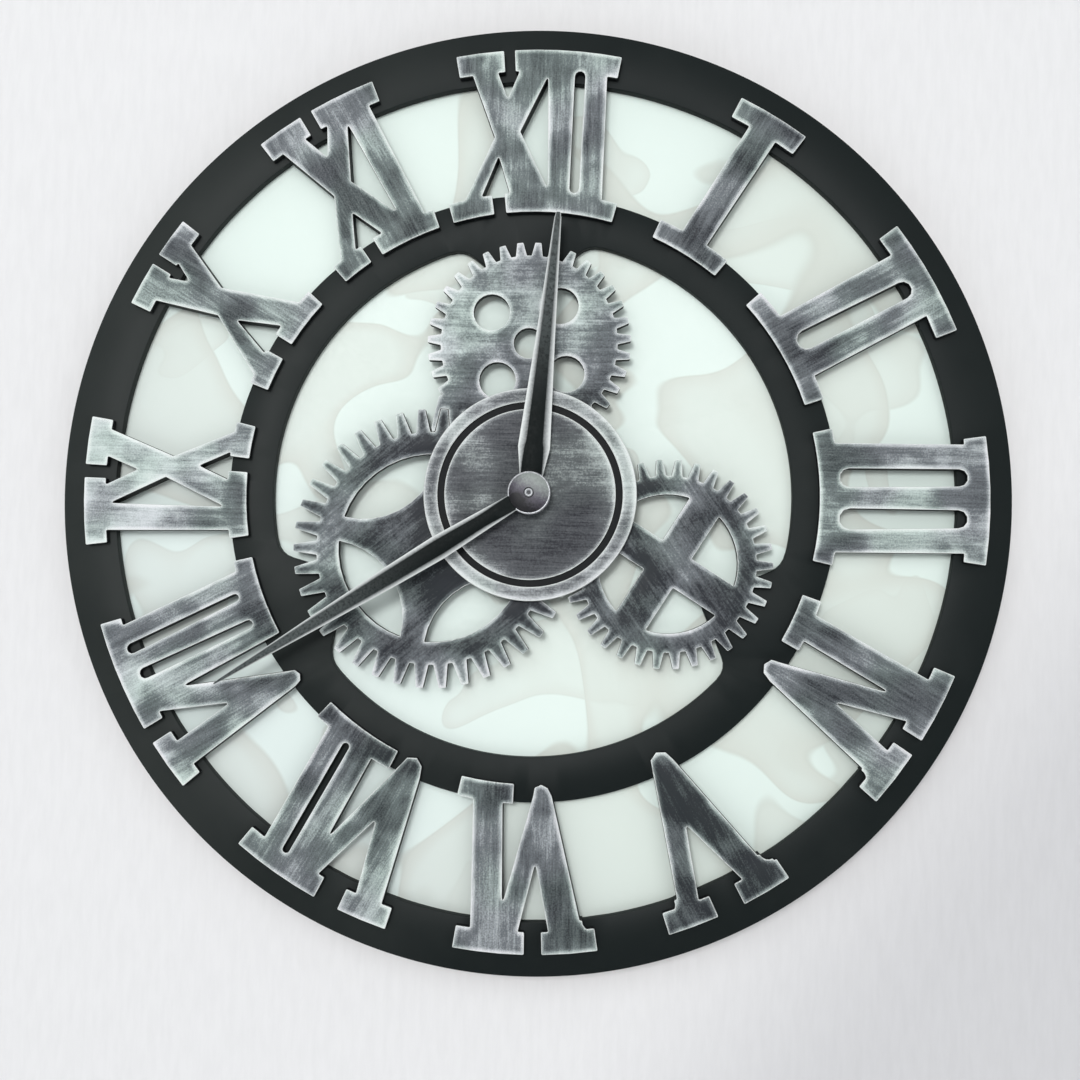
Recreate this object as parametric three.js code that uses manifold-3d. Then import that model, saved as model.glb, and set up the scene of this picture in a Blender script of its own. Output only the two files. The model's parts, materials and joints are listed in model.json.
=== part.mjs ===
// Gear wall clock: a black cut-out dial plate on a pale backing panel, with twelve raised
// roman numerals, three decorative gears, a grooved centre disc, two hands and a quartz movement.
//
// Units are millimetres. Pieces are drawn in dial coordinates: x to the right, y up, and z the
// distance from the wall towards the viewer. Angles run clockwise from twelve o'clock in degrees.
// The finished part stands with +Z up, its dial facing -Y, and its origin on the wall behind the
// hands' axis.

import * as THREE from 'three';
import { mergeVertices } from 'three/addons/utils/BufferGeometryUtils.js';
import Module from 'manifold-3d';

const wasm = await Module();
wasm.setup();

// Dial plate and backing panel
const RING_OUTER_R = 250;
const RING_WIDTH = 28;
const TRACK_OUTER_R = 160.5;
const TRACK_WIDTH = 23.5;
const PLATE_T = 5;
const PANEL_T = 3;
const PANEL_MARGIN = 7;
const PANEL_CUTOUT_CLEARANCE = 2;
const GLUE_GAP = 0.2;

// Triangular tabs on the inner ring that carry the gears: clock angles of the base, place of the apex
const TABS = [
  { from: -16.7, to: 11.6, apex: { angle: -2.5, radius: 105 } },
  { from: 104.3, to: 130.3, apex: { angle: 121, radius: 104.6 } },
  { from: 229.6, to: 255.9, apex: { angle: 246, radius: 106.6 } },
];
const TAB_FILLET = 7;
const TAB_APEX_ROUND = 4;

// Numerals
const NUMERAL_T = 4.5;
const NUMERAL_MARGIN = 12.5;
const OUTER_SERIF_H = 11.5;
const INNER_SERIF_H = 10.3;
const NUMERAL_FOOT_SEAT = 10.2;
const STROKE_TOP_LAP = 2;
const STROKE_FOOT_LAP = 0.5;
const STROKE_OVERRUN = 6;
const SLOT_TOP = 1.03;
const SLOT_FOOT = -0.01;
const NECK_FILLET = 5;

// Gears
const GEAR_T = 5;
const GEAR_SEAM = 0.3;
const TOP_GEAR = {
  x: -2.7, y: 80, teeth: 35, tipR: 53.6, rootR: 46.6, tipWidth: 3.3, rootWidth: 5.9, phase: 4,
};
const LEFT_GEAR = {
  x: -50.9, y: -28.9, teeth: 38, tipR: 73.3, rootR: 61, tipWidth: 3.8, rootWidth: 7.6, phase: 3.6,
};
const RIGHT_GEAR = {
  x: 72.3, y: -34.4, teeth: 34, tipR: 54.6, rootR: 46, tipWidth: 3.2, rootWidth: 5.8, phase: 5,
};
const TOP_GEAR_HUB_HOLE_R = 8;
const TOP_GEAR_HOLE_R = 9.6;
const TOP_GEAR_HOLE_CIRCLE_R = 25.6;
const TOP_GEAR_HOLE_ANGLE = 38.8;
const TOP_GEAR_WEB = [[-43, 56], [-49.5, 51], [-53, 34.5], [-50, 22], [-30, 40]];
const LEFT_GEAR_RIM_R = 49.3;
const LEFT_GEAR_HUB_R = 26;
const LEFT_GEAR_SPOKE_WIDTH = 13;
const LEFT_GEAR_HOLE_ANGLE = 55.7;
const RIGHT_GEAR_RIM_R = 36.2;
const RIGHT_GEAR_SPOKE_WIDTH = 18;
const RIGHT_GEAR_HOLE_ANGLE = 76.7;

// Centre disc and the hidden carrier behind the gears
const CARRIER_R = 50;
const DISC_R = 55.5;
const DISC_T = 5;
const DISC_EDGE_CHAMFER = 0.6;
const GROOVE_INNER_R = 44.5;
const GROOVE_OUTER_R = 48.2;
const GROOVE_DEPTH = 1.5;

// Hands
const HAND_T = 1.2;
const HAND_HUB_R = 11;
const HAND_LIFT = 5;
const HAND_SPACING = 2.4;
const HAND_BORE_CLEARANCE = 0.1;
const HOUR_HAND = {
  angle: 4.5, length: 147, tipHalf: 1.2,
  profile: [[9, 5.9], [24, 8.3], [79, 5.1], [144.5, 1.8]],
};
const MINUTE_HAND = {
  angle: 237.5, length: 189, tipHalf: 0.4,
  profile: [[9, 4.3], [54, 6.3], [84, 5.5], [133, 3.4], [186, 0.7]],
};

// Movement case
const CASE_SIZE = 56;
const CASE_DEPTH = 15.5;
const CASE_CORNER_R = 4;
const CASE_WALL = 1.4;
const CASE_FLOOR = 1.2;
const COVER_T = 1.8;
const COVER_SEAT = 0.3;
const HANGER_WIDTH = 24;
const HANGER_HEIGHT = 13;
const HANGER_T = 2;
const HANGER_SLOT_WIDTH = 13;
const HANGER_SLOT_HEIGHT = 6.4;

// Shaft, bush and what clamps the movement to the dial
const CLAMP_GAP = 0.1;
const BUSH_R = 4;
const BUSH_BORE_R = 2.85;
const BUSH_CLEARANCE = 0.4;
const PIPE_R = 2.55;
const PIPE_BORE_R = 1.9;
const PIPE_PROUD = 0.6;
const ARBOR_R = 1.6;
const ARBOR_FOOT_R = 0.8;
const GASKET_R = 9;
const GASKET_T = 0.6;
const WASHER_R = 7;
const WASHER_T = 0.5;
const HEX_NUT_FLATS = 10.6;
const HEX_NUT_T = 2;
const BUSH_PROUD = 0.5;
const CAP_NUT_R = 2.4;
const CAP_NUT_T = 1.6;
const CAP_NUT_EYE_R = 0.7;
const CAP_NUT_SEAT_T = 1;

// Wheel train: module, tooth counts and levels above the wall
const WHEEL_T = 0.8;
const PINION_TEETH = 6;
const CENTRE_MODULE = 0.38;
const CENTRE_TEETH = 48;
const THIRD_TEETH = 45;
const SECONDS_MODULE = 0.42;
const SECONDS_TEETH = 30;
const ROTOR_MODULE = 0.34;
const INTERMEDIATE_TEETH = 36;
const MOTION_MODULE = 0.45;
const CANNON_TEETH = 10;
const MINUTE_WHEEL_TEETH = 30;
const MINUTE_PINION_TEETH = 8;
const HOUR_WHEEL_TEETH = 32;
const KNOB_PINION_TEETH = 8;
const TRAIN_ARBOR_R = 0.5;
const THIRD_ARBOR_ANGLE = 30;
const SECONDS_ARBOR_ANGLE = 90;
const INTERMEDIATE_ARBOR_ANGLE = 30;
const ROTOR_ARBOR_ANGLE = 330;
const MOTION_ARBOR_ANGLE = 270;
const WHEEL_PHASE = 0;
const ADDENDUM = 0.8;
const WHEEL_DEDENDUM = 1.25;
const PINION_DEDENDUM = 1.2;
const PINION_ROOT_SHARE = 0.6;
const PINION_TIP_SHARE = 0.12;
const CENTRE_WHEEL_Z = 3;
const THIRD_WHEEL_Z = 5.2;
const SECONDS_WHEEL_Z = 7.4;
const INTERMEDIATE_WHEEL_Z = 9.6;
const MINUTE_WHEEL_Z = 9.3;
const HOUR_WHEEL_Z = 11.6;
const PINION_OVERLAP = 0.4;
const PIVOT_GAP = 0.3;
const POST_R = 0.65;
const PIVOT_DEPTH = 0.9;
const PIVOT_CLEARANCE = 0.15;
const CLUTCH_CLEARANCE = 0.15;
const CLUTCH_HUB_WALL = 0.9;
const KNOB_R = 6;
const KNOB_T = 2.4;
const KNOB_RECESS = 0.5;
const KNOB_CLEARANCE = 0.6;
const KNOB_GRIP_TEETH = 12;
const KNOB_GRIP_DEPTH = 0.6;
const KNOB_GRIP_TIP = 1.3;
const KNOB_GRIP_ROOT = 2.2;
const KNOB_SHAFT_R = 1;
const KNOB_WELL_WALL = 1;

// Motor and supply
const MAGNET_R = 3;
const MAGNET_T = 3;
const MAGNET_Z = 4.6;
const STATOR_HOLE_R = 3.6;
const STATOR_RING_R = 4.5;
const STATOR_T = 0.8;
const STATOR_Z = 5.7;
const STATOR_ARM_WIDTH = 3.2;
const STATOR_TAIL = 1.5;
const COIL_LENGTH = 20;
const COIL_X = -19.5;
const COIL_R = 3.8;
const COIL_FLANGE_R = 4.3;
const COIL_FLANGE_T = 1;
const COIL_BORE_CLEARANCE = 0.35;
const BOARD = { x: -25.4, y: 9.6, width: 14, height: 7.5, z: 1.6, t: 1 };
const CRYSTAL_R = 1;
const CRYSTAL_LENGTH = 6;
const CRYSTAL_INSET = 3;
const BATTERY_R = 7.1;
const BATTERY_LENGTH = 49;
const BATTERY_NUB_R = 2.7;
const BATTERY_NUB_LENGTH = 1.2;
const BATTERY_BAY_CLEARANCE = 0.4;
const BATTERY_Y = -18.2;
const BATTERY_REAR = 0.3;
const BAY_WALL = 1.2;
const CONTACT_T = 0.5;
const CONTACT_WIDTH = 9;
const CONTACT_HEIGHT = 9;
const SPRING_R = 3;

// Bumpers that keep the rim parallel to the wall
const BUMPER_R = 8;
const BUMPER_MARGIN = 17;
const BUMPER_ANGLES = [150, 210];

// How far a cutter passes a face, and how far joined forms run into each other
const CUT_REACH = 1;
const JOIN_LAP = 0.2;

// Facet counts
const RING_STEPS = 90;
const DISC_STEPS = 56;
const HOLE_STEPS = 24;
const SMALL_STEPS = 16;
const ARBOR_STEPS = 8;
const LENS_STEPS = 9;
const SERIF_STEP_DEG = 3;
const MERGE_TOLERANCE = 0.002;

// Levels above the wall, from the rear forwards
const PLATE_REAR = CASE_DEPTH + GASKET_T + 2 * CLAMP_GAP;
const PLATE_FRONT = PLATE_REAR + PLATE_T;
const PANEL_FRONT = PLATE_REAR - GLUE_GAP;
const PANEL_REAR = PANEL_FRONT - PANEL_T;
const NUMERAL_REAR = PLATE_FRONT + GLUE_GAP;
const GEAR_REAR = PLATE_FRONT + GLUE_GAP;
const GEAR_FRONT = GEAR_REAR + GEAR_T;
const DISC_REAR = GEAR_FRONT + GLUE_GAP;
const DISC_FRONT = DISC_REAR + DISC_T;
const WASHER_REAR = DISC_FRONT + CLAMP_GAP;
const HEX_NUT_REAR = WASHER_REAR + WASHER_T + CLAMP_GAP;
const HOUR_HAND_REAR = DISC_FRONT + HAND_LIFT;
const HOUR_HAND_FRONT = HOUR_HAND_REAR + HAND_T;
const MINUTE_HAND_REAR = HOUR_HAND_FRONT + HAND_SPACING;
const MINUTE_HAND_FRONT = MINUTE_HAND_REAR + HAND_T;
const COVER_REAR = CASE_DEPTH - COVER_T;
const LID_REAR = COVER_REAR + COVER_SEAT;
const ARBOR_REAR = CASE_FLOOR - PIVOT_DEPTH + PIVOT_GAP;
const ARBOR_FRONT = LID_REAR + PIVOT_DEPTH - PIVOT_GAP;

// Radii worked out from the driving ones
const RING_INNER_R = RING_OUTER_R - RING_WIDTH;
const TRACK_INNER_R = TRACK_OUTER_R - TRACK_WIDTH;
const PANEL_R = RING_OUTER_R - PANEL_MARGIN;
const BUMPER_CIRCLE_R = PANEL_R - BUMPER_MARGIN;
const NUMERAL_OUTER_R = RING_OUTER_R - NUMERAL_MARGIN;
const NUMERAL_INNER_R = TRACK_OUTER_R - NUMERAL_FOOT_SEAT;

// One finish for each kind of surface
const finish = (color, roughness, metalness) => ({ color, roughness, metalness });
const BLACK_SATIN = finish(0x26282a, 0.5, 0);
const MINT_BOARD = finish(0xe2f0ea, 0.7, 0);
const ANTIQUE_SILVER = finish(0x8b9193, 0.45, 0.5);
const HAND_BLACK = finish(0x1b2020, 0.35, 0.3);
const CASE_PLASTIC = finish(0x18191b, 0.55, 0);
const BRASS = finish(0xb89a4e, 0.35, 0.9);
const STEEL = finish(0xa8abad, 0.35, 0.9);
const NYLON = finish(0xe9e7dc, 0.6, 0);
const RUBBER = finish(0x2a2a2a, 0.9, 0);
const COPPER = finish(0xa8552a, 0.4, 0.7);
const BOARD_GREEN = finish(0x2d5a3a, 0.6, 0);
const FERRITE = finish(0x3a3c40, 0.6, 0.2);
const BATTERY_JACKET = finish(0x5a6068, 0.4, 0.3);

const clock = new THREE.Group();

// Exact turn from dial coordinates to the part's frame: x stays, y becomes +Z, z becomes -Y
const DIAL_TO_PART = new THREE.Matrix4().set(1, 0, 0, 0, 0, 0, -1, 0, 0, 1, 0, 0, 0, 0, 0, 1);

// Geometry helpers

function radians(degrees) {
  return THREE.MathUtils.degToRad(degrees);
}

// Point at a radius and a clock angle, about a centre
function polar(radius, angle, centre = { x: 0, y: 0 }) {
  return new THREE.Vector2(
    centre.x + radius * Math.sin(radians(angle)),
    centre.y + radius * Math.cos(radians(angle)),
  );
}

// Points along an arc about a centre, both ends included
function arc(radius, from, to, steps, centre) {
  return Array.from({ length: steps + 1 }, (_, i) => polar(radius, from + (to - from) * i / steps, centre));
}

function circle(radius, steps, centre) {
  return arc(radius, 0, 360, steps, centre).slice(0, steps);
}

// Flat plate of an outline between two levels
function plate(outline, rear, front, holes = []) {
  const clockwise = THREE.ShapeUtils.isClockWise(outline);
  const shape = new THREE.Shape(clockwise ? outline.toReversed() : outline);
  shape.holes = holes.map((points) => new THREE.Path(points));
  const geometry = new THREE.ExtrudeGeometry(shape, { depth: front - rear, bevelEnabled: false });
  return toSolid(geometry.translate(0, 0, rear));
}

// Revolved solid about the dial axis, from radius and level pairs that close on themselves
function turned(profile, steps, centre = { x: 0, y: 0 }) {
  const points = profile.map(([radius, level]) => new THREE.Vector2(radius, level));
  points.push(points[0].clone());
  const geometry = new THREE.LatheGeometry(points, steps).rotateX(Math.PI / 2);
  return toSolid(geometry.translate(centre.x, centre.y, 0));
}

function pillar(radius, rear, front, steps, centre = { x: 0, y: 0 }) {
  return plate(circle(radius, steps, centre), rear, front);
}

// Cylinder lying along x between two abscissas
function bar(radius, fromX, toX, y, level, steps) {
  const geometry = new THREE.CylinderGeometry(radius, radius, toX - fromX, steps).rotateZ(Math.PI / 2);
  return toSolid(geometry.translate((fromX + toX) / 2, y, level));
}

function block(x0, x1, y0, y1, rear, front) {
  const geometry = new THREE.BoxGeometry(x1 - x0, y1 - y0, front - rear);
  return toSolid(geometry.translate((x0 + x1) / 2, (y0 + y1) / 2, (rear + front) / 2));
}

// Square outline with rounded corners
function roundedSquare(size, cornerR) {
  const reach = size / 2 - cornerR;
  const corners = [[1, 1, 0], [1, -1, 90], [-1, -1, 180], [-1, 1, 270]];
  return corners.flatMap(([sx, sy, start]) => {
    const centre = { x: sx * reach, y: sy * reach };
    return arc(cornerR, start, start + 90, 4, centre);
  });
}

// Closed mesh to solid, leaving out the triangles that collapse on the axis
function toSolid(geometry) {
  geometry.deleteAttribute('normal');
  geometry.deleteAttribute('uv');
  const merged = mergeVertices(geometry, 1e-4);
  const index = merged.index.array;
  const kept = [];
  for (let i = 0; i < index.length; i += 3) {
    const [a, b, c] = [index[i], index[i + 1], index[i + 2]];
    if (a !== b && b !== c && c !== a) {
      kept.push(a, b, c);
    }
  }
  const vertProperties = new Float32Array(merged.attributes.position.array);
  return new wasm.Manifold(new wasm.Mesh({ numProp: 3, vertProperties, triVerts: new Uint32Array(kept) }));
}

function join(solids) {
  return solids.reduce((whole, solid) => whole.add(solid));
}

function cut(solid, cutters) {
  return cutters.reduce((rest, cutter) => rest.subtract(cutter), solid);
}

// Names a finished piece, merges its coplanar facets, gives it its material and adds it to the clock
function addPiece(name, solid, look) {
  const mesh = solid.asOriginal().simplify(MERGE_TOLERANCE).getMesh();
  const geometry = new THREE.BufferGeometry();
  geometry.setAttribute('position', new THREE.BufferAttribute(new Float32Array(mesh.vertProperties), 3));
  geometry.setIndex(new THREE.BufferAttribute(new Uint32Array(mesh.triVerts), 1));
  geometry.applyMatrix4(DIAL_TO_PART);
  geometry.computeVertexNormals();
  const piece = new THREE.Mesh(geometry, new THREE.MeshStandardMaterial(look));
  piece.name = name;
  clock.add(piece);
}

// Numeral drawings. Across is millimetres clockwise from the hour line. Height runs from 0 at the
// inner ring to 1 at the outer ring. Serifs are given by their clock angles from the hour line.
//   stems: across at the top left, top right, foot left and foot right
//   slots: the same four, for a round-ended slot between two stems
//   vees and exes: across of the strokes at the top and foot, with the notches between them
const NUMERALS = [
  {
    name: 'numeral_01',
    stems: [[-2.8, 13.3, -4.2, 10.8]],
    outerSerifs: [[-3.4, 6.2]],
    innerSerifs: [[-6.1, 8.7]],
  },
  {
    name: 'numeral_02',
    stems: [[-19.4, 17.3, -19.4, 16.6]],
    slots: [[-4.8, 4.3, -7.1, 3]],
    outerSerifs: [[-7.6, 7.6]],
    innerSerifs: [[-12.7, 10.6]],
  },
  {
    name: 'numeral_03',
    stems: [[-30.9, 25.5, -30.5, 26.4]],
    slots: [[-18, -9.1, -17.4, -7.7], [3.2, 12.5, 3.4, 14.3]],
    outerSerifs: [[-8.6, 7.6]],
    innerSerifs: [[-13.7, 11.9]],
  },
  {
    name: 'numeral_04',
    stems: [[-24.9, -9, -23.5, -8.7]],
    vees: [{
      left: [-12.5, -0.3], right: [16.8, 32.6],
      notch: [9.9, 0.46], foot: [5.5, 19.1], tip: [12.1, -0.19],
    }],
    necks: [[32.6, 1]],
    outerSerifs: [[-8.1, 0.9], [3, 10.3]],
    innerSerifs: [[-11.1, -1.1]],
  },
  {
    name: 'numeral_05',
    vees: [{
      left: [-14.8, -0.3], right: [23.6, 35.1],
      notch: [11.2, 0.43], foot: [-0.5, 14.6], tip: [6.8, -0.2],
    }],
    necks: [[-14.8, -1], [35.1, 1]],
    outerSerifs: [[-5.4, 1], [4.6, 11.1]],
    innerSerifs: [],
  },
  {
    name: 'numeral_06',
    stems: [[9.2, 25.6, 10.4, 25.8]],
    vees: [{
      left: [-32.1, -14.5], right: [0.5, 12.4],
      notch: [-7.3, 0.47], foot: [-16.2, -4.1], tip: [-9.4, -0.17],
    }],
    necks: [[-32.1, -1]],
    outerSerifs: [[-9.8, -2.8], [-0.6, 8.4]],
    innerSerifs: [[1.8, 12.3]],
  },
  {
    name: 'numeral_07',
    stems: [[-3.5, 25.5, -0.8, 27]],
    vees: [{
      left: [-45.4, -30.6], right: [-9, 1.2],
      notch: [-19.4, 0.4], foot: [-29.1, -14.1], tip: [-21, -0.21],
    }],
    blindSlots: [[10.6, 14.4, 12, 15.9]],
    outerSerifs: [[-12.9, -6.4], [-3.1, 8.6]],
    innerSerifs: [[-4.1, 12.6]],
  },
  {
    name: 'numeral_08',
    stems: [[-0.1, 43.3, -0.3, 39.7]],
    vees: [{
      left: [-39.1, -24.1], right: [-6.7, 5.5],
      notch: [-19.9, 0.47], foot: [-29.5, -18.1], tip: [-24.3, -0.16],
    }],
    slots: [[12.5, 18.2, 9.3, 13.8], [27.4, 32.8, 25.2, 29.3]],
    outerSerifs: [[-11.3, -4.6], [-2.5, 12]],
    innerSerifs: [[0, 16.2]],
  },
  {
    name: 'numeral_09',
    stems: [[-23.3, -8.9, -21.9, -9.6]],
    exes: [{
      top: [-9.2, 1.8, 15.5, 30.4], topNotch: [9.3, 0.76], waist: [[5.6, 0.52], [16.7, 0.46]],
      footNotch: [11.9, 0.24], foot: [-9.9, 5.1, 18.8, 28.9],
    }],
    outerSerifs: [[-7.6, 1.1], [2.8, 9]],
    innerSerifs: [[-9.4, 3.4], [6.2, 12.8]],
  },
  {
    name: 'numeral_10',
    exes: [{
      top: [-14.3, -0.2, 7.5, 19.7], topNotch: [3, 0.86], waist: [[-4.4, 0.5], [9.1, 0.6]],
      footNotch: [-1.4, 0.34], foot: [-20.5, -8.5, 8, 23],
    }],
    outerSerifs: [[-5.5, 0.3], [1.7, 7]],
    innerSerifs: [[-9.4, -2.4], [1, 11.3]],
  },
  {
    name: 'numeral_11',
    stems: [[9.4, 24.1, 10.1, 22.8]],
    exes: [{
      top: [-28.5, -13.8, -1.6, 10.4], topNotch: [-8.5, 0.79], waist: [[-15.3, 0.47], [-3.7, 0.51]],
      footNotch: [-11, 0.27], foot: [-27.5, -18.3, -2.7, 12.8],
    }],
    outerSerifs: [[-8.9, -2.7], [-1.1, 7.7]],
    innerSerifs: [[-12.1, -5.6], [-2.9, 9.9]],
  },
  {
    name: 'numeral_12',
    stems: [[4, 35.3, 5.2, 34]],
    exes: [{
      top: [-36.5, -22.4, -11.9, 4.3], topNotch: [-17.2, 0.79], waist: [[-23.6, 0.46], [-10.1, 0.51]],
      footNotch: [-21.2, 0.3], foot: [-36.1, -28.5, -15.3, 6],
    }],
    slots: [[18.2, 23.7, 16.7, 21.6]],
    outerSerifs: [[-11, -4.8], [-3.4, 10.4]],
    innerSerifs: [[-17.1, -8.7], [-6.3, 15.2]],
  },
];

const VEE_TIP_START = -0.08;

// Radii of a stroke's foot and top
const STROKE_FOOT_R = TRACK_OUTER_R + STROKE_FOOT_LAP;
const STROKE_REACH = RING_INNER_R + STROKE_TOP_LAP - STROKE_FOOT_R;

// Heights where a stroke ends inside its serifs
const STROKE_LOW = -STROKE_OVERRUN / STROKE_REACH;
const STROKE_HIGH = 1 + STROKE_OVERRUN / STROKE_REACH;

// Turns an across and height pair into dial coordinates for one hour
function letterPoint(hour, across, height) {
  const radius = STROKE_FOOT_R + height * STROKE_REACH;
  const along = polar(radius, 30 * hour);
  const side = polar(across, 30 * hour + 90);
  return along.add(side);
}

function between(foot, top, height) {
  return foot + (top - foot) * height;
}

function stemOutline([topLeft, topRight, footLeft, footRight]) {
  const low = STROKE_LOW;
  const high = STROKE_HIGH;
  return [
    [between(footLeft, topLeft, low), low],
    [between(footLeft, topLeft, high), high],
    [between(footRight, topRight, high), high],
    [between(footRight, topRight, low), low],
  ];
}

function veeOutline({ left, right, notch, foot, tip }) {
  const high = STROKE_HIGH;
  const notchEdge = (top) => between(notch[0], top, (high - notch[1]) / (1 - notch[1]));
  const tipLeft = between(foot[0], left[0], VEE_TIP_START);
  const tipRight = between(foot[1], right[1], VEE_TIP_START);
  const round = [0.25, 0.5, 0.75].map((share) => [
    between(tipRight, tipLeft, (1 - Math.cos(Math.PI * share)) / 2) + (tip[0] - (tipLeft + tipRight) / 2),
    VEE_TIP_START + (tip[1] - VEE_TIP_START) * Math.sin(Math.PI * share),
  ]);
  return [
    [tipLeft, VEE_TIP_START],
    [between(foot[0], left[0], high), high],
    [notchEdge(left[1]), high],
    notch,
    [notchEdge(right[0]), high],
    [between(foot[1], right[1], high), high],
    [tipRight, VEE_TIP_START],
    ...round,
  ];
}

function exOutline({ top, topNotch, waist, footNotch, foot }) {
  const high = STROKE_HIGH;
  const low = STROKE_LOW;
  const upper = (edge, from) => [between(from[0], edge, (high - from[1]) / (1 - from[1])), high];
  const lower = (edge, from) => [between(from[0], edge, (from[1] - low) / from[1]), low];
  return [
    lower(foot[0], waist[0]),
    waist[0],
    upper(top[0], waist[0]),
    upper(top[1], topNotch),
    topNotch,
    upper(top[2], topNotch),
    upper(top[3], waist[1]),
    waist[1],
    lower(foot[3], waist[1]),
    lower(foot[2], footNotch),
    footNotch,
    lower(foot[1], footNotch),
  ];
}

// Slot with half-round ends, in dial coordinates
function slotOutline(hour, [topLeft, topRight, footLeft, footRight]) {
  const topR = (topRight - topLeft) / 2;
  const footR = (footRight - footLeft) / 2;
  const top = letterPoint(hour, (topLeft + topRight) / 2, SLOT_TOP - topR / STROKE_REACH);
  const foot = letterPoint(hour, (footLeft + footRight) / 2, SLOT_FOOT + footR / STROKE_REACH);
  const axis = 30 * hour;
  return [...arc(topR, axis - 90, axis + 90, 5, top), ...arc(footR, axis + 90, axis + 270, 5, foot)];
}

// Concave fillet where a slanting stroke runs into the ring, on the given side of its edge
function neckOutline([across, side]) {
  const fillet = NECK_FILLET / STROKE_REACH;
  const curve = [0, 0.25, 0.5, 0.75, 1].map((share) => [
    across + side * NECK_FILLET * (1 - Math.sin(Math.PI / 2 * share)),
    1 - fillet * (1 - Math.cos(Math.PI / 2 * share)),
  ]);
  const inner = across - side * NECK_FILLET;
  const high = STROKE_HIGH;
  return [[inner, high], [across + side * NECK_FILLET, high], ...curve, [inner, 1 - fillet]];
}

function sector(innerR, outerR, from, to) {
  const steps = Math.max(2, Math.round((to - from) / SERIF_STEP_DEG));
  return [...arc(outerR, from, to, steps), ...arc(innerR, to, from, steps)];
}

// The strokes of a numeral between the rings, as outlines in dial coordinates
function strokeOutlines(numeral, hour) {
  const drawn = [
    ...(numeral.stems ?? []).map(stemOutline),
    ...(numeral.vees ?? []).map(veeOutline),
    ...(numeral.exes ?? []).map(exOutline),
    ...(numeral.necks ?? []).map(neckOutline),
  ];
  return drawn.map((outline) => outline.map(([across, height]) => letterPoint(hour, across, height)));
}

function serifOutlines(numeral, hour) {
  const outer = numeral.outerSerifs.map(([from, to]) => (
    sector(NUMERAL_OUTER_R - OUTER_SERIF_H, NUMERAL_OUTER_R, 30 * hour + from, 30 * hour + to)));
  const inner = numeral.innerSerifs.map(([from, to]) => (
    sector(NUMERAL_INNER_R, NUMERAL_INNER_R + INNER_SERIF_H, 30 * hour + from, 30 * hour + to)));
  return [...outer, ...inner];
}

function slotCutters(slots, hour, rear, front) {
  return (slots ?? []).map((slot) => plate(slotOutline(hour, slot), rear - CUT_REACH, front + CUT_REACH));
}

// Raised silver numerals
function buildNumerals() {
  NUMERALS.forEach((numeral, index) => {
    const hour = index + 1;
    const front = NUMERAL_REAR + NUMERAL_T;
    const outlines = [...strokeOutlines(numeral, hour), ...serifOutlines(numeral, hour)];
    const body = join(outlines.map((outline) => plate(outline, NUMERAL_REAR, front)));
    const slots = [...(numeral.slots ?? []), ...(numeral.blindSlots ?? [])];
    addPiece(numeral.name, cut(body, slotCutters(slots, hour, NUMERAL_REAR, front)), ANTIQUE_SILVER);
  });
}

// Point moved a set distance towards another
function towards(start, end, distance) {
  return end.clone().sub(start).setLength(distance).add(start);
}

// Corner rounded off by the given distance on both of its sides
function roundedCorner(before, corner, after, distance) {
  const start = towards(corner, before, distance);
  const end = towards(corner, after, distance);
  return new THREE.QuadraticBezierCurve(start, corner, end).getPoints(4);
}

// Triangular tab that grows out of the ring's inner edge with a fillet on each side
function tabOutline({ from, to, apex }) {
  const tip = polar(apex.radius, apex.angle);
  const base = [polar(TRACK_INNER_R, from), polar(TRACK_INNER_R, to)];
  const spread = THREE.MathUtils.radToDeg(2 * TAB_FILLET / TRACK_INNER_R);
  const foot = [polar(TRACK_INNER_R, from - spread), polar(TRACK_INNER_R, to + spread)];
  const rootR = (TRACK_INNER_R + TRACK_OUTER_R) / 2;
  const root = [polar(rootR, from - spread), polar(rootR, to + spread)];
  return [
    root[0],
    ...roundedCorner(foot[0], base[0], tip, TAB_FILLET),
    ...roundedCorner(base[0], tip, base[1], TAB_APEX_ROUND),
    ...roundedCorner(tip, base[1], foot[1], TAB_FILLET),
    root[1],
  ];
}

// Black plate: outer ring, inner ring with its gear tabs, and the strokes that bridge the two
function buildDialPlate() {
  const annulus = (outerR, innerR) => (
    plate(circle(outerR, RING_STEPS), PLATE_REAR, PLATE_FRONT, [circle(innerR, RING_STEPS)]));
  const ring = annulus(RING_OUTER_R, RING_INNER_R);
  const track = annulus(TRACK_OUTER_R, TRACK_INNER_R);
  const tabs = TABS.map((tab) => plate(tabOutline(tab), PLATE_REAR, PLATE_FRONT));
  const bridges = NUMERALS.flatMap((numeral, index) => (
    strokeOutlines(numeral, index + 1).map((outline) => plate(outline, PLATE_REAR, PLATE_FRONT))));
  const slots = NUMERALS.flatMap((numeral, index) => (
    slotCutters(numeral.slots, index + 1, PLATE_REAR, PLATE_FRONT)));
  const gaps = join(slots).subtract(ring).subtract(track);
  addPiece('dial_plate', join([ring, track, ...tabs, ...bridges]).subtract(gaps), BLACK_SATIN);
}

// Pale panel behind the openings, with a square hole for the movement
function buildBackPanel() {
  const hole = roundedSquare(CASE_SIZE + 2 * PANEL_CUTOUT_CLEARANCE, CASE_CORNER_R);
  addPiece('back_panel', plate(circle(PANEL_R, RING_STEPS), PANEL_REAR, PANEL_FRONT, [hole]), MINT_BOARD);
}

// Round carrier in the plane of the dial plate that joins the gears behind the centre disc
function buildCarrier() {
  const hole = circle(BUSH_R + BUSH_CLEARANCE, SMALL_STEPS);
  const carrier = plate(circle(CARRIER_R, DISC_STEPS / 2), PLATE_REAR, PLATE_FRONT, [hole]);
  addPiece('gear_carrier', carrier, BLACK_SATIN);
}

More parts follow.
